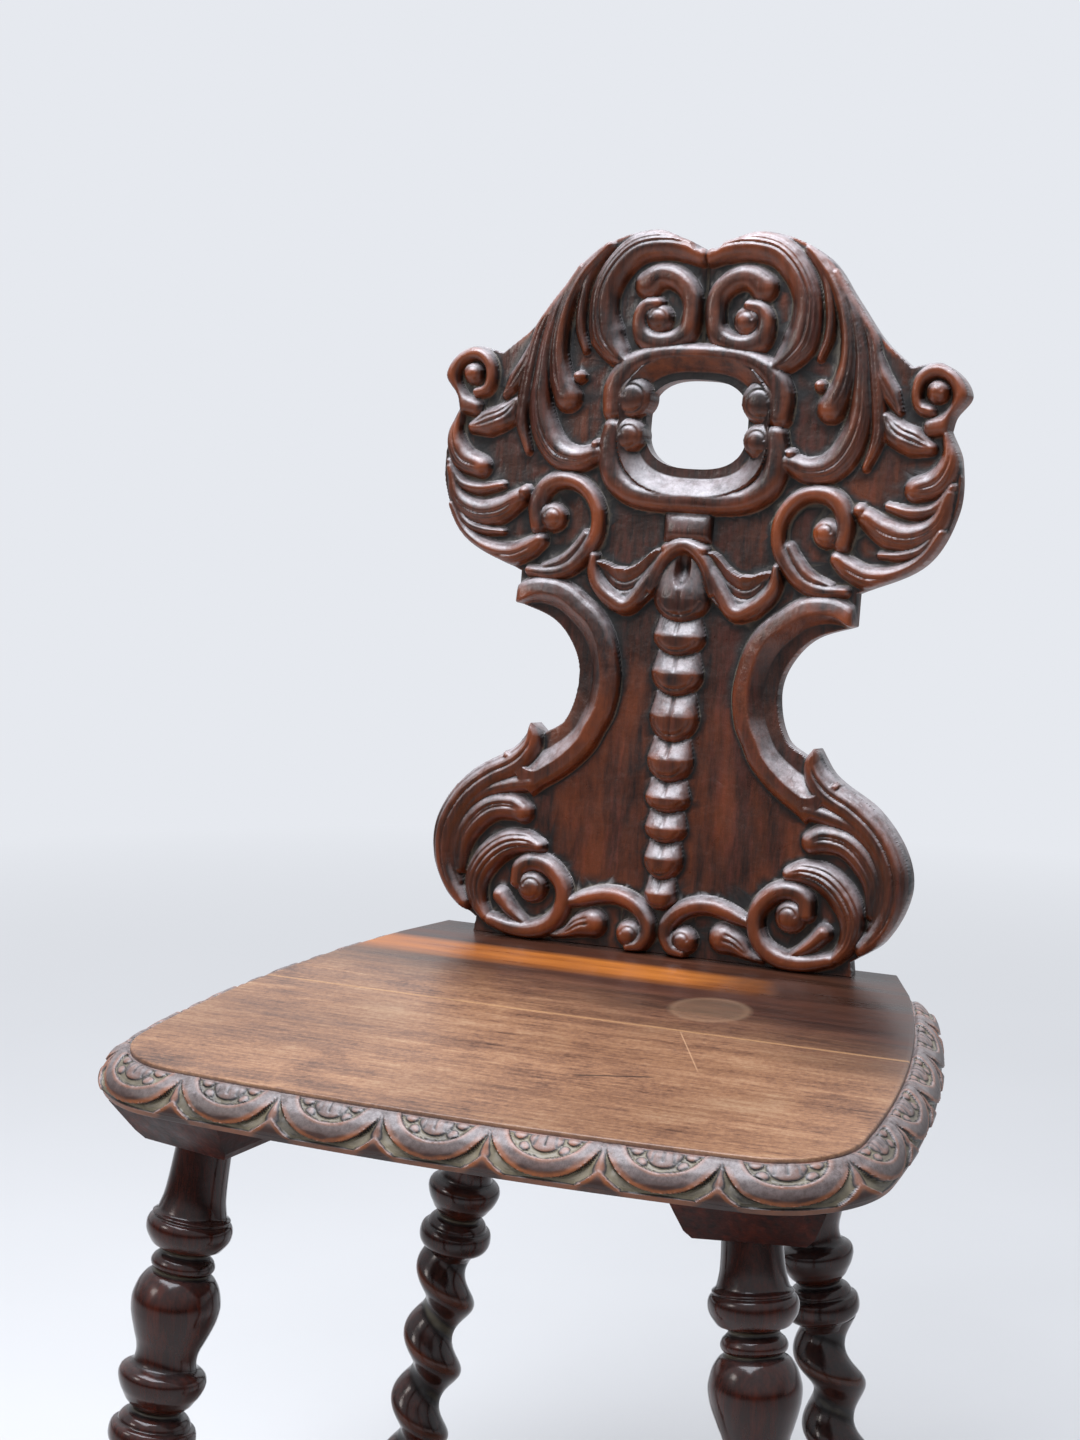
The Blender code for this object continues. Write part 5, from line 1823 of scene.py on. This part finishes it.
@dataclass
class TurnedLegs:
    """Four turned legs with barley-twist shafts, all from one node tree.

    Attributes:
        sides: Facets round a turning.
        twist_start: Distance from the batten to the twist.
        twist_length: Length of the twist.
        pitch: Length of one turn.
        strand_radius: Radius of the twisted strand.
        strand_offset: How far the strand lies off the leg's axis.
        strand_rings: Number of rings along the strand.
        tenon_radius: Radius of the round tenon.
        tenon_top: How far the tenon passes above the leg's origin.
        tenon_foot: How far it starts below it, inside the leg.
        tenon_end: Height of the tenon's flat end, in metres.
        shoulder: Height of the leg's flat end under the batten, in metres.
        sharp: Angle above which an edge stays crisp, in degrees.
        places: The four legs.
        top: Distance down and radius of the turning above the twist.
        foot: The same of the foot below it.
    """

    sides: int = 56
    twist_start: float = 176.0
    twist_length: float = 164.5
    pitch: float = 47.0
    strand_radius: float = 16.9
    strand_offset: float = 5.3
    strand_rings: int = 190
    tenon_radius: float = 12.0
    tenon_top: float = 34.0
    tenon_foot: float = 12.0
    tenon_end: float = 0.4287
    shoulder: float = 0.3957
    sharp: float = 50.0
    places: tuple[LegPlace, ...] = (
        LegPlace("leg_front_left", -1, 156, -295, (0.112, -0.183), 0.0, 102.0, 1.0),
        LegPlace("leg_front_right", 1, 156, -295, (0.112, -0.183), 12.0, 60.0, 0.975),
        LegPlace("leg_rear_left", -1, 97, -24, (0.172, -0.037), 17.0, 102.0, 0.95),
        LegPlace("leg_rear_right", 1, 97, -24, (0.172, -0.037), 13.0, 60.0, 0.95),
    )
    top: Knots = (
        (-30, 15.0), (-14, 15.2), (5, 15.4), (30, 16.7), (38, 18.6), (40.4, 19.4), (42, 22), (43.2, 20.6),
        (44.4, 22.8), (48, 24), (53, 23.4), (58, 20), (59.6, 18.4), (60, 15.4), (62.5, 12.8), (65, 15.6),
        (66, 16.7), (69, 18), (72, 16.9), (73, 14.6), (74.4, 15.6), (75, 18.4), (80, 21.9), (85, 23.6),
        (90, 24.7), (95, 24.3), (100, 23.4), (110, 19.9), (115, 17.8), (120, 16.8), (125, 17.3),
        (126.6, 18.6), (128, 21.9), (130, 23.9), (134, 24.7), (140, 22.7), (144, 20), (147, 18.3),
        (149.6, 15.4), (151.6, 13.3), (153.2, 14.6), (154, 17.8), (157, 20), (159, 20.2), (159.6, 21.2),
        (160.4, 23.4), (165, 24.5), (170, 24), (174, 21), (176, 16), (181, 13))
    foot: Knots = (
        (334, 12.0), (338, 14.6), (343.4, 16.2), (345, 20.0), (347, 22.6), (352, 24.0), (358, 23.2),
        (361.6, 20), (363.4, 15.4), (367, 15.2), (369, 18.2), (374, 20.4), (381, 21.6), (389, 21.2),
        (398, 19.0), (408, 17.0), (420, 16.0), (452, 15.4))

    def profile(self, knots: Knots) -> np.ndarray:
        """Round the turner's profile by cutting its corners.

        Args:
            knots: Distance down and radius.

        Returns:
            The rounded profile.
        """
        points = np.array(knots, dtype=float)
        for _ in range(2):
            first, second = points[:-1], points[1:]
            cut = np.empty((2 * len(first), 2))
            cut[0::2] = first * 0.75 + second * 0.25
            cut[1::2] = first * 0.25 + second * 0.75
            points = np.vstack([points[:1], cut, points[-1:]])
        return points

    def inputs(self, wood: bpy.types.Material) -> dict[str, tuple[str, object]]:
        """List the inputs of the legs' node tree.

        Args:
            wood: The legs' finish.

        Returns:
            The kind of socket and the value by the input's name.
        """
        return {
            "Sides": ("Int", self.sides), "Twist Start": ("Float", self.twist_start * MM),
            "Twist Length": ("Float", self.twist_length * MM),
            "Turns": ("Float", self.twist_length / self.pitch),
            "Strand Radius": ("Float", self.strand_radius * MM),
            "Strand Offset": ("Float", self.strand_offset * MM), "Wood": ("Material", wood)}

    def tree(self, inputs: dict[str, tuple[str, object]]) -> bpy.types.NodeTree:
        """Build the node tree that turns a profile path and winds a strand.

        Args:
            inputs: The kind of socket and the value by the input's name.

        Returns:
            The tree.
        """
        tree = bpy.data.node_groups.new("turned_and_twisted_leg", "GeometryNodeTree")
        graph = Graph(tree)
        for name, kind, way in (("Profile", "Geometry", "INPUT"),
                                *((name, kind, "INPUT") for name, (kind, _) in inputs.items()),
                                ("Leg", "Geometry", "OUTPUT")):
            tree.interface.new_socket(name, in_out=way, socket_type=f"NodeSocket{kind}")
        given = graph.put("NodeGroupInput").outputs
        path = graph.out("GeometryNodeMeshToCurve", {0: given["Profile"]})
        radius = graph.out("GeometryNodeInputNamedAttribute", {"Name": "radius"}, data_type="FLOAT")
        path = graph.out("GeometryNodeSetCurveRadius", {"Curve": path, "Radius": radius})
        ring = graph.out("GeometryNodeCurvePrimitiveCircle", {"Resolution": given["Sides"], "Radius": 1.0})
        turned = graph.put("GeometryNodeCurveToMesh",
                           {"Curve": path, "Profile Curve": ring, "Fill Caps": True})
        # Some releases take the radius from this input and not from the curve.
        if "Scale" in turned.inputs:
            tree.links.new(radius, turned.inputs["Scale"])
        down = graph.math("MULTIPLY", given["Twist Start"], -1.0)
        start = graph.out("ShaderNodeCombineXYZ", {2: down})
        end = graph.out("ShaderNodeCombineXYZ", {2: graph.math("SUBTRACT", down, given["Twist Length"])})
        line = graph.out("GeometryNodeCurvePrimitiveLine", {"Start": start, "End": end})
        line = graph.out("GeometryNodeResampleCurve", {"Curve": line, "Count": self.strand_rings})
        share = graph.put("GeometryNodeSplineParameter").outputs["Factor"]
        turn = graph.math("MULTIPLY", graph.math("MULTIPLY", share, given["Turns"]), -2 * math.pi)
        line = graph.out("GeometryNodeSetCurveTilt", {"Curve": line, "Tilt": turn})
        strand = graph.out("GeometryNodeCurvePrimitiveCircle",
                           {"Resolution": given["Sides"], "Radius": given["Strand Radius"]})
        aside = graph.out("ShaderNodeCombineXYZ", {0: given["Strand Offset"]})
        strand = graph.out("GeometryNodeTransform", {"Geometry": strand, "Translation": aside})
        twist = graph.put("GeometryNodeCurveToMesh",
                          {"Curve": line, "Profile Curve": strand, "Fill Caps": True})
        both = graph.put("GeometryNodeJoinGeometry")
        for part in (twist, turned):
            tree.links.new(part.outputs[0], both.inputs[0])
        smooth = graph.out("GeometryNodeSetShadeSmooth", {"Geometry": both.outputs[0]})
        real = graph.out("GeometryNodeRealizeInstances", {"Geometry": smooth})
        dressed = graph.out("GeometryNodeSetMaterial", {"Geometry": real, "Material": given["Wood"]})
        graph.put("NodeGroupOutput", {"Leg": dressed})
        return tree

    def paths(self) -> bpy.types.Mesh:
        """Build the profile paths.

        Returns:
            The paths as edges with a radius at each vertex.
        """
        mesh = bpy.data.meshes.new("leg_profile")
        places, edges, radii = [], [], []
        for knots in (self.top, self.foot):
            line = self.profile(knots)
            first = len(places)
            places += [(0.0, 0.0, -distance * MM) for distance, _ in line]
            radii += [radius * MM for _, radius in line]
            edges += [(first + k, first + k + 1) for k in range(len(line) - 1)]
        mesh.from_pydata(places, edges, [])
        put_attribute(mesh, "radius", np.array(radii))
        return mesh

    def marks(self, mesh: bpy.types.Mesh) -> None:
        """Store where a leg is rubbed, and the hollows where dust and painted shade lie, from its own
        profile.

        Args:
            mesh: A leg in its own frame, in metres.
        """
        places = vertices_of(mesh) / MM
        down = -places[:, 2]
        out = np.hypot(places[:, 0], places[:, 1])
        ridge = np.zeros(len(places))
        recess = np.zeros(len(places))
        for knots in (self.top, self.foot):
            line = self.profile(knots)
            steps = np.arange(line[0, 0], line[-1, 0], 0.25)
            radius = np.interp(steps, line[:, 0], line[:, 1])
            around = blurred(np.repeat(radius[:, None], 3, 1), 10.0)[:, 1]
            here = (down >= steps[0]) & (down <= steps[-1])
            ridge[here] = np.interp(down[here], steps, np.clip((radius - around) / 1.8, 0, 1))
            recess[here] = np.interp(down[here], steps, np.clip((around - radius) / 2.2, 0, 1))
        twisted = (down > self.twist_start + 6) & (down < self.twist_start + self.twist_length - 6)
        ridge[twisted] = np.clip((out[twisted] - 20.2) / 2.4, 0, 1)
        recess[twisted] = np.clip((13.6 - out[twisted]) / 2.4, 0, 1)
        put_attribute(mesh, "ridge", ridge)
        put_attribute(mesh, "recess", recess)

    def strand_angle(self, mesh: bpy.types.Mesh) -> float:
        """Measure where the strand stands at the top of the twist, one turn down from it.

        Args:
            mesh: The leg, in its own frame.

        Returns:
            The angle in radians.
        """
        places = vertices_of(mesh) / MM
        ring = places[np.abs(places[:, 2] + self.twist_start + self.pitch) < 0.6]
        middle = ring.mean(0)
        return math.atan2(middle[1], middle[0])

    def tenon(self, place: LegPlace) -> bpy.types.Object:
        """Make a leg's round tenon with the slot for its wedge, in metres.

        Args:
            place: The leg's place.

        Returns:
            The tenon.
        """
        made = new_object("tenon")
        length = self.tenon_top + self.tenon_foot
        middle = (self.tenon_top - self.tenon_foot) / 2 * MM
        with edited(made.data) as work:
            bmesh.ops.create_cone(work, cap_ends=True, segments=self.sides, radius1=self.tenon_radius * MM,
                                  radius2=self.tenon_radius * MM, depth=length * MM,
                                  matrix=Matrix.Translation((0, 0, middle)))
            work.transform(place.frame())
            self.flat_cut(work, self.tenon_end, True)
        cut_with(made, [slot_for(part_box(place.name.replace("leg", "leg_wedge")), 0.01)])
        return made

    def flat_cut(self, work: bmesh.types.BMesh, level: float, above: bool) -> None:
        """Cut a mesh off at a level and close it.

        Args:
            work: The mesh.
            level: Height of the cut, in metres.
            above: Whether what is above goes.
        """
        bmesh.ops.edgeloop_fill(work, edges=sliced(work, (0, 0, level), (0, 0, 1), 1e-7, outer=above))

    def build(self) -> list[bpy.types.Object]:
        """Build the four legs.

        Returns:
            The pieces.
        """
        inputs = self.inputs(TURNED_WALNUT.make())
        tree = self.tree(inputs)
        sockets = {item.name: item.identifier for item in tree.interface.items_tree if item.in_out == "INPUT"}
        pieces = []
        for place in self.places:
            made = new_object(f"turned_{place.name}", self.paths())
            turning = made.modifiers.new("turning", "NODES")
            turning.node_group = tree
            for name, (_, value) in inputs.items():
                turning[sockets[name]] = value
            mesh = applied(made)
            self.marks(mesh)
            spin = Matrix.Rotation(math.radians(place.phase) - self.strand_angle(mesh), 4, "Z")
            lifted = Matrix.Translation((0.0, 0.0, place.lift * MM))
            thinned = Matrix.Diagonal((place.girth, place.girth, 1.0, 1.0))
            with edited(mesh) as work:
                work.transform(place.frame() @ (lifted @ thinned) @ spin)
                self.flat_cut(work, self.shoulder, True)
                self.flat_cut(work, 0.0, False)
                bmesh.ops.recalc_face_normals(work, faces=work.faces[:])
                bmesh.ops.triangulate(work, faces=work.faces[:])
            join(made, self.tenon(place))
            smooth_shade(made.data, self.sharp)
            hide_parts(place.name)
            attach(made, ROOT)
            pieces.append(made)
        return pieces


# Underframe


@dataclass
class Underframe:
    """Battens, keys and wedges: their solids are right and get their own finishes.

    Attributes:
        nodes: The solids by name.
        battens: Nodes of the battens.
        pegs: Nodes of the keys and wedges.
    """

    nodes: dict[str, bpy.types.Object]
    battens: tuple[str, ...] = ("batten_left", "batten_right")
    pegs: tuple[str, ...] = (
        "back_key_left", "back_key_right", "leg_wedge_front_left", "leg_wedge_front_right",
        "leg_wedge_rear_left", "leg_wedge_rear_right")

    def build(self) -> list[bpy.types.Object]:
        """Dress the solids.

        Returns:
            The objects.
        """
        for names, finish in ((self.battens, BATTEN_WALNUT.make()), (self.pegs, PEG_OAK.make())):
            for name in names:
                for slot in self.nodes[name].material_slots:
                    slot.material = finish
        return [self.nodes[name] for name in self.battens + self.pegs]


# Studio


# Colour of the background, and of the floor where it meets it
SKY = "e6e9ef"


@dataclass(frozen=True)
class StudioPaper:
    """Plain matt paper for the floor: pale, so that only the chair's shadow shows on it.

    Attributes:
        name: The finish's name.
        shade: Its colour.
        fibre: Colour of its darker fibres.
        fade: Where it starts and ends to fade to the sky's colour, in metres from the chair.
    """

    name: str = "matt_paper"
    shade: str = "d2d2d0"
    fibre: str = "cfcfcd"
    fade: tuple[float, float] = (0.7, 2.4)

    def make(self) -> bpy.types.Material:
        """Build the material.

        Returns:
            The material.
        """
        material, graph = new_material(self.name)
        place = graph.place()
        colour = graph.ramp(graph.noise(place, 3.0, 4.0), ((0.3, self.fibre), (0.7, self.shade)))
        paper = graph.out("ShaderNodeBsdfPrincipled",
                          {"Base Color": colour, "Roughness": 0.9, "Specular IOR Level": 0.1})
        looked = graph.put("ShaderNodeLightPath").outputs["Is Camera Ray"]
        far = graph.math("MULTIPLY", looked, graph.spread(graph.vector("LENGTH", place), *self.fade))
        glow = graph.out("ShaderNodeEmission", {"Color": linear(SKY), "Strength": 1.0})
        mixed = graph.out("ShaderNodeMixShader", {0: far, 1: paper, 2: glow})
        graph.put("ShaderNodeOutputMaterial", {"Surface": mixed})
        return material


@dataclass(frozen=True)
class Lamp:
    """One soft square lamp that faces the chair.

    Attributes:
        name: The lamp's name.
        place: Its place, in metres.
        size: Its side, in metres.
        power: Its power, in watts.
        tint: Its colour.
        target: What it faces, in metres.
    """

    name: str
    place: Point
    size: float
    power: float
    tint: str
    target: Point = (0.0, 0.0, 0.5)

    def hang(self) -> None:
        """Hang the lamp."""
        data = bpy.data.lights.new(self.name, "AREA")
        data.shape = "SQUARE"
        data.size = self.size
        data.energy = self.power
        data.color = linear(self.tint)[:3]
        made = bpy.data.objects.new(self.name, data)
        made.location = self.place
        aim = Vector(self.target) - Vector(self.place)
        made.rotation_euler = aim.to_track_quat("-Z", "Y").to_euler()
        bpy.context.scene.collection.objects.link(made)


@dataclass
class Studio:
    """Floor, lamps, world and the camera at the photograph's angle.

    Attributes:
        camera_at: Camera's place, in metres.
        azimuth: Turn to the right of straight ahead, in degrees.
        elevation: Tilt down, in degrees.
        roll: Roll, in degrees.
        lens: Focal length for the sensor's long side.
        sensor: That side, in millimetres.
        clip: Nearest and farthest distance that the camera sees, in metres.
        floor_half: Half the floor's side, in metres.
        soft: Colour and strength of the light from all round.
        lamps: The lamps.
    """

    camera_at: Point = (0.50814, -1.32413, 0.88789)
    azimuth: float = 21.74969
    elevation: float = 10.73516
    roll: float = 0.99805
    lens: float = 64.589
    sensor: float = 36.0
    clip: tuple[float, float] = (0.05, 60.0)
    floor_half: float = 12.0
    soft: tuple[str, float] = ("dfe3ee", 0.38)
    lamps: tuple[Lamp, ...] = (
        Lamp("overhead", (-0.25, -0.35, 2.6), 1.8, 108.0, "f1f5ff"),
        Lamp("front_left", (-1.9, -1.9, 1.8), 0.7, 13.0, "fff6f0"))

    def camera(self) -> None:
        """Set up the camera."""
        az, el, roll = (math.radians(value) for value in (self.azimuth, self.elevation, self.roll))
        ahead = Vector((-math.sin(az) * math.cos(el), math.cos(az) * math.cos(el), -math.sin(el)))
        right = Vector((math.cos(az), math.sin(az), 0.0))
        up = right.cross(ahead)
        across = right * math.cos(roll) + up * math.sin(roll)
        upward = up * math.cos(roll) - right * math.sin(roll)
        data = bpy.data.cameras.new("camera")
        data.sensor_fit = "VERTICAL"
        data.sensor_height = self.sensor
        data.lens = self.lens
        data.clip_start, data.clip_end = self.clip
        made = bpy.data.objects.new("camera", data)
        turn = Matrix((across, upward, -ahead)).transposed().to_4x4()
        turn.translation = Vector(self.camera_at)
        made.matrix_world = turn
        bpy.context.scene.collection.objects.link(made)
        bpy.context.scene.camera = made

    def world(self) -> None:
        """Light the scene softly from all round, with a pale background to look at."""
        world = bpy.data.worlds.new("studio")
        bpy.context.scene.world = world
        world.use_nodes = True
        graph = Graph(world.node_tree)
        rays = graph.put("ShaderNodeLightPath").outputs
        colour, strength = self.soft
        soft = graph.out("ShaderNodeBackground", {"Color": linear(colour), "Strength": strength})
        # The room is dark in front of the chair below eye level, and pale above and behind it.
        _, back, high = graph.axes(graph.put("ShaderNodeTexCoord").outputs["Generated"])
        bright = graph.math("MAXIMUM", graph.spread(back, -0.15, 0.25),
                            graph.spread(high, 0.08, 0.4, 0.16, 1.0))
        bright = graph.math("MAXIMUM", bright, rays["Is Camera Ray"])
        seen = graph.out("ShaderNodeBackground", {"Color": linear(SKY), "Strength": bright})
        shows = graph.math("MAXIMUM", rays["Is Camera Ray"], rays["Is Glossy Ray"])
        shows = graph.math("MAXIMUM", shows, rays["Is Transmission Ray"])
        mixed = graph.out("ShaderNodeMixShader", {0: shows, 1: soft, 2: seen})
        graph.put("ShaderNodeOutputWorld", {"Surface": mixed})

    def build(self) -> None:
        """Set up the floor, the lamps, the world and the camera."""
        floor = new_object("floor")
        with edited(floor.data) as work:
            bmesh.ops.create_grid(work, x_segments=8, y_segments=8, size=self.floor_half)
        floor.data.materials.append(StudioPaper().make())
        for lamp in self.lamps:
            lamp.hang()
        self.world()
        self.camera()
        bpy.context.scene.view_settings.view_transform = "Standard"


def main() -> None:
    """Build the chair piece by piece and report each one."""
    logging.basicConfig(level=logging.INFO, format="%(message)s")
    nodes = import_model()["nodes"]
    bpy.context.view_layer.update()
    Studio().build()
    for made in (CarvedBack().build(), *PlankSeat(nodes).build(), *TurnedLegs().build()):
        LOG.info("%s: %d faces", made.name, len(made.data.polygons))
    for made in Underframe(nodes).build():
        LOG.info("%s dressed", made.name)


if __name__ == "__main__":
    main()
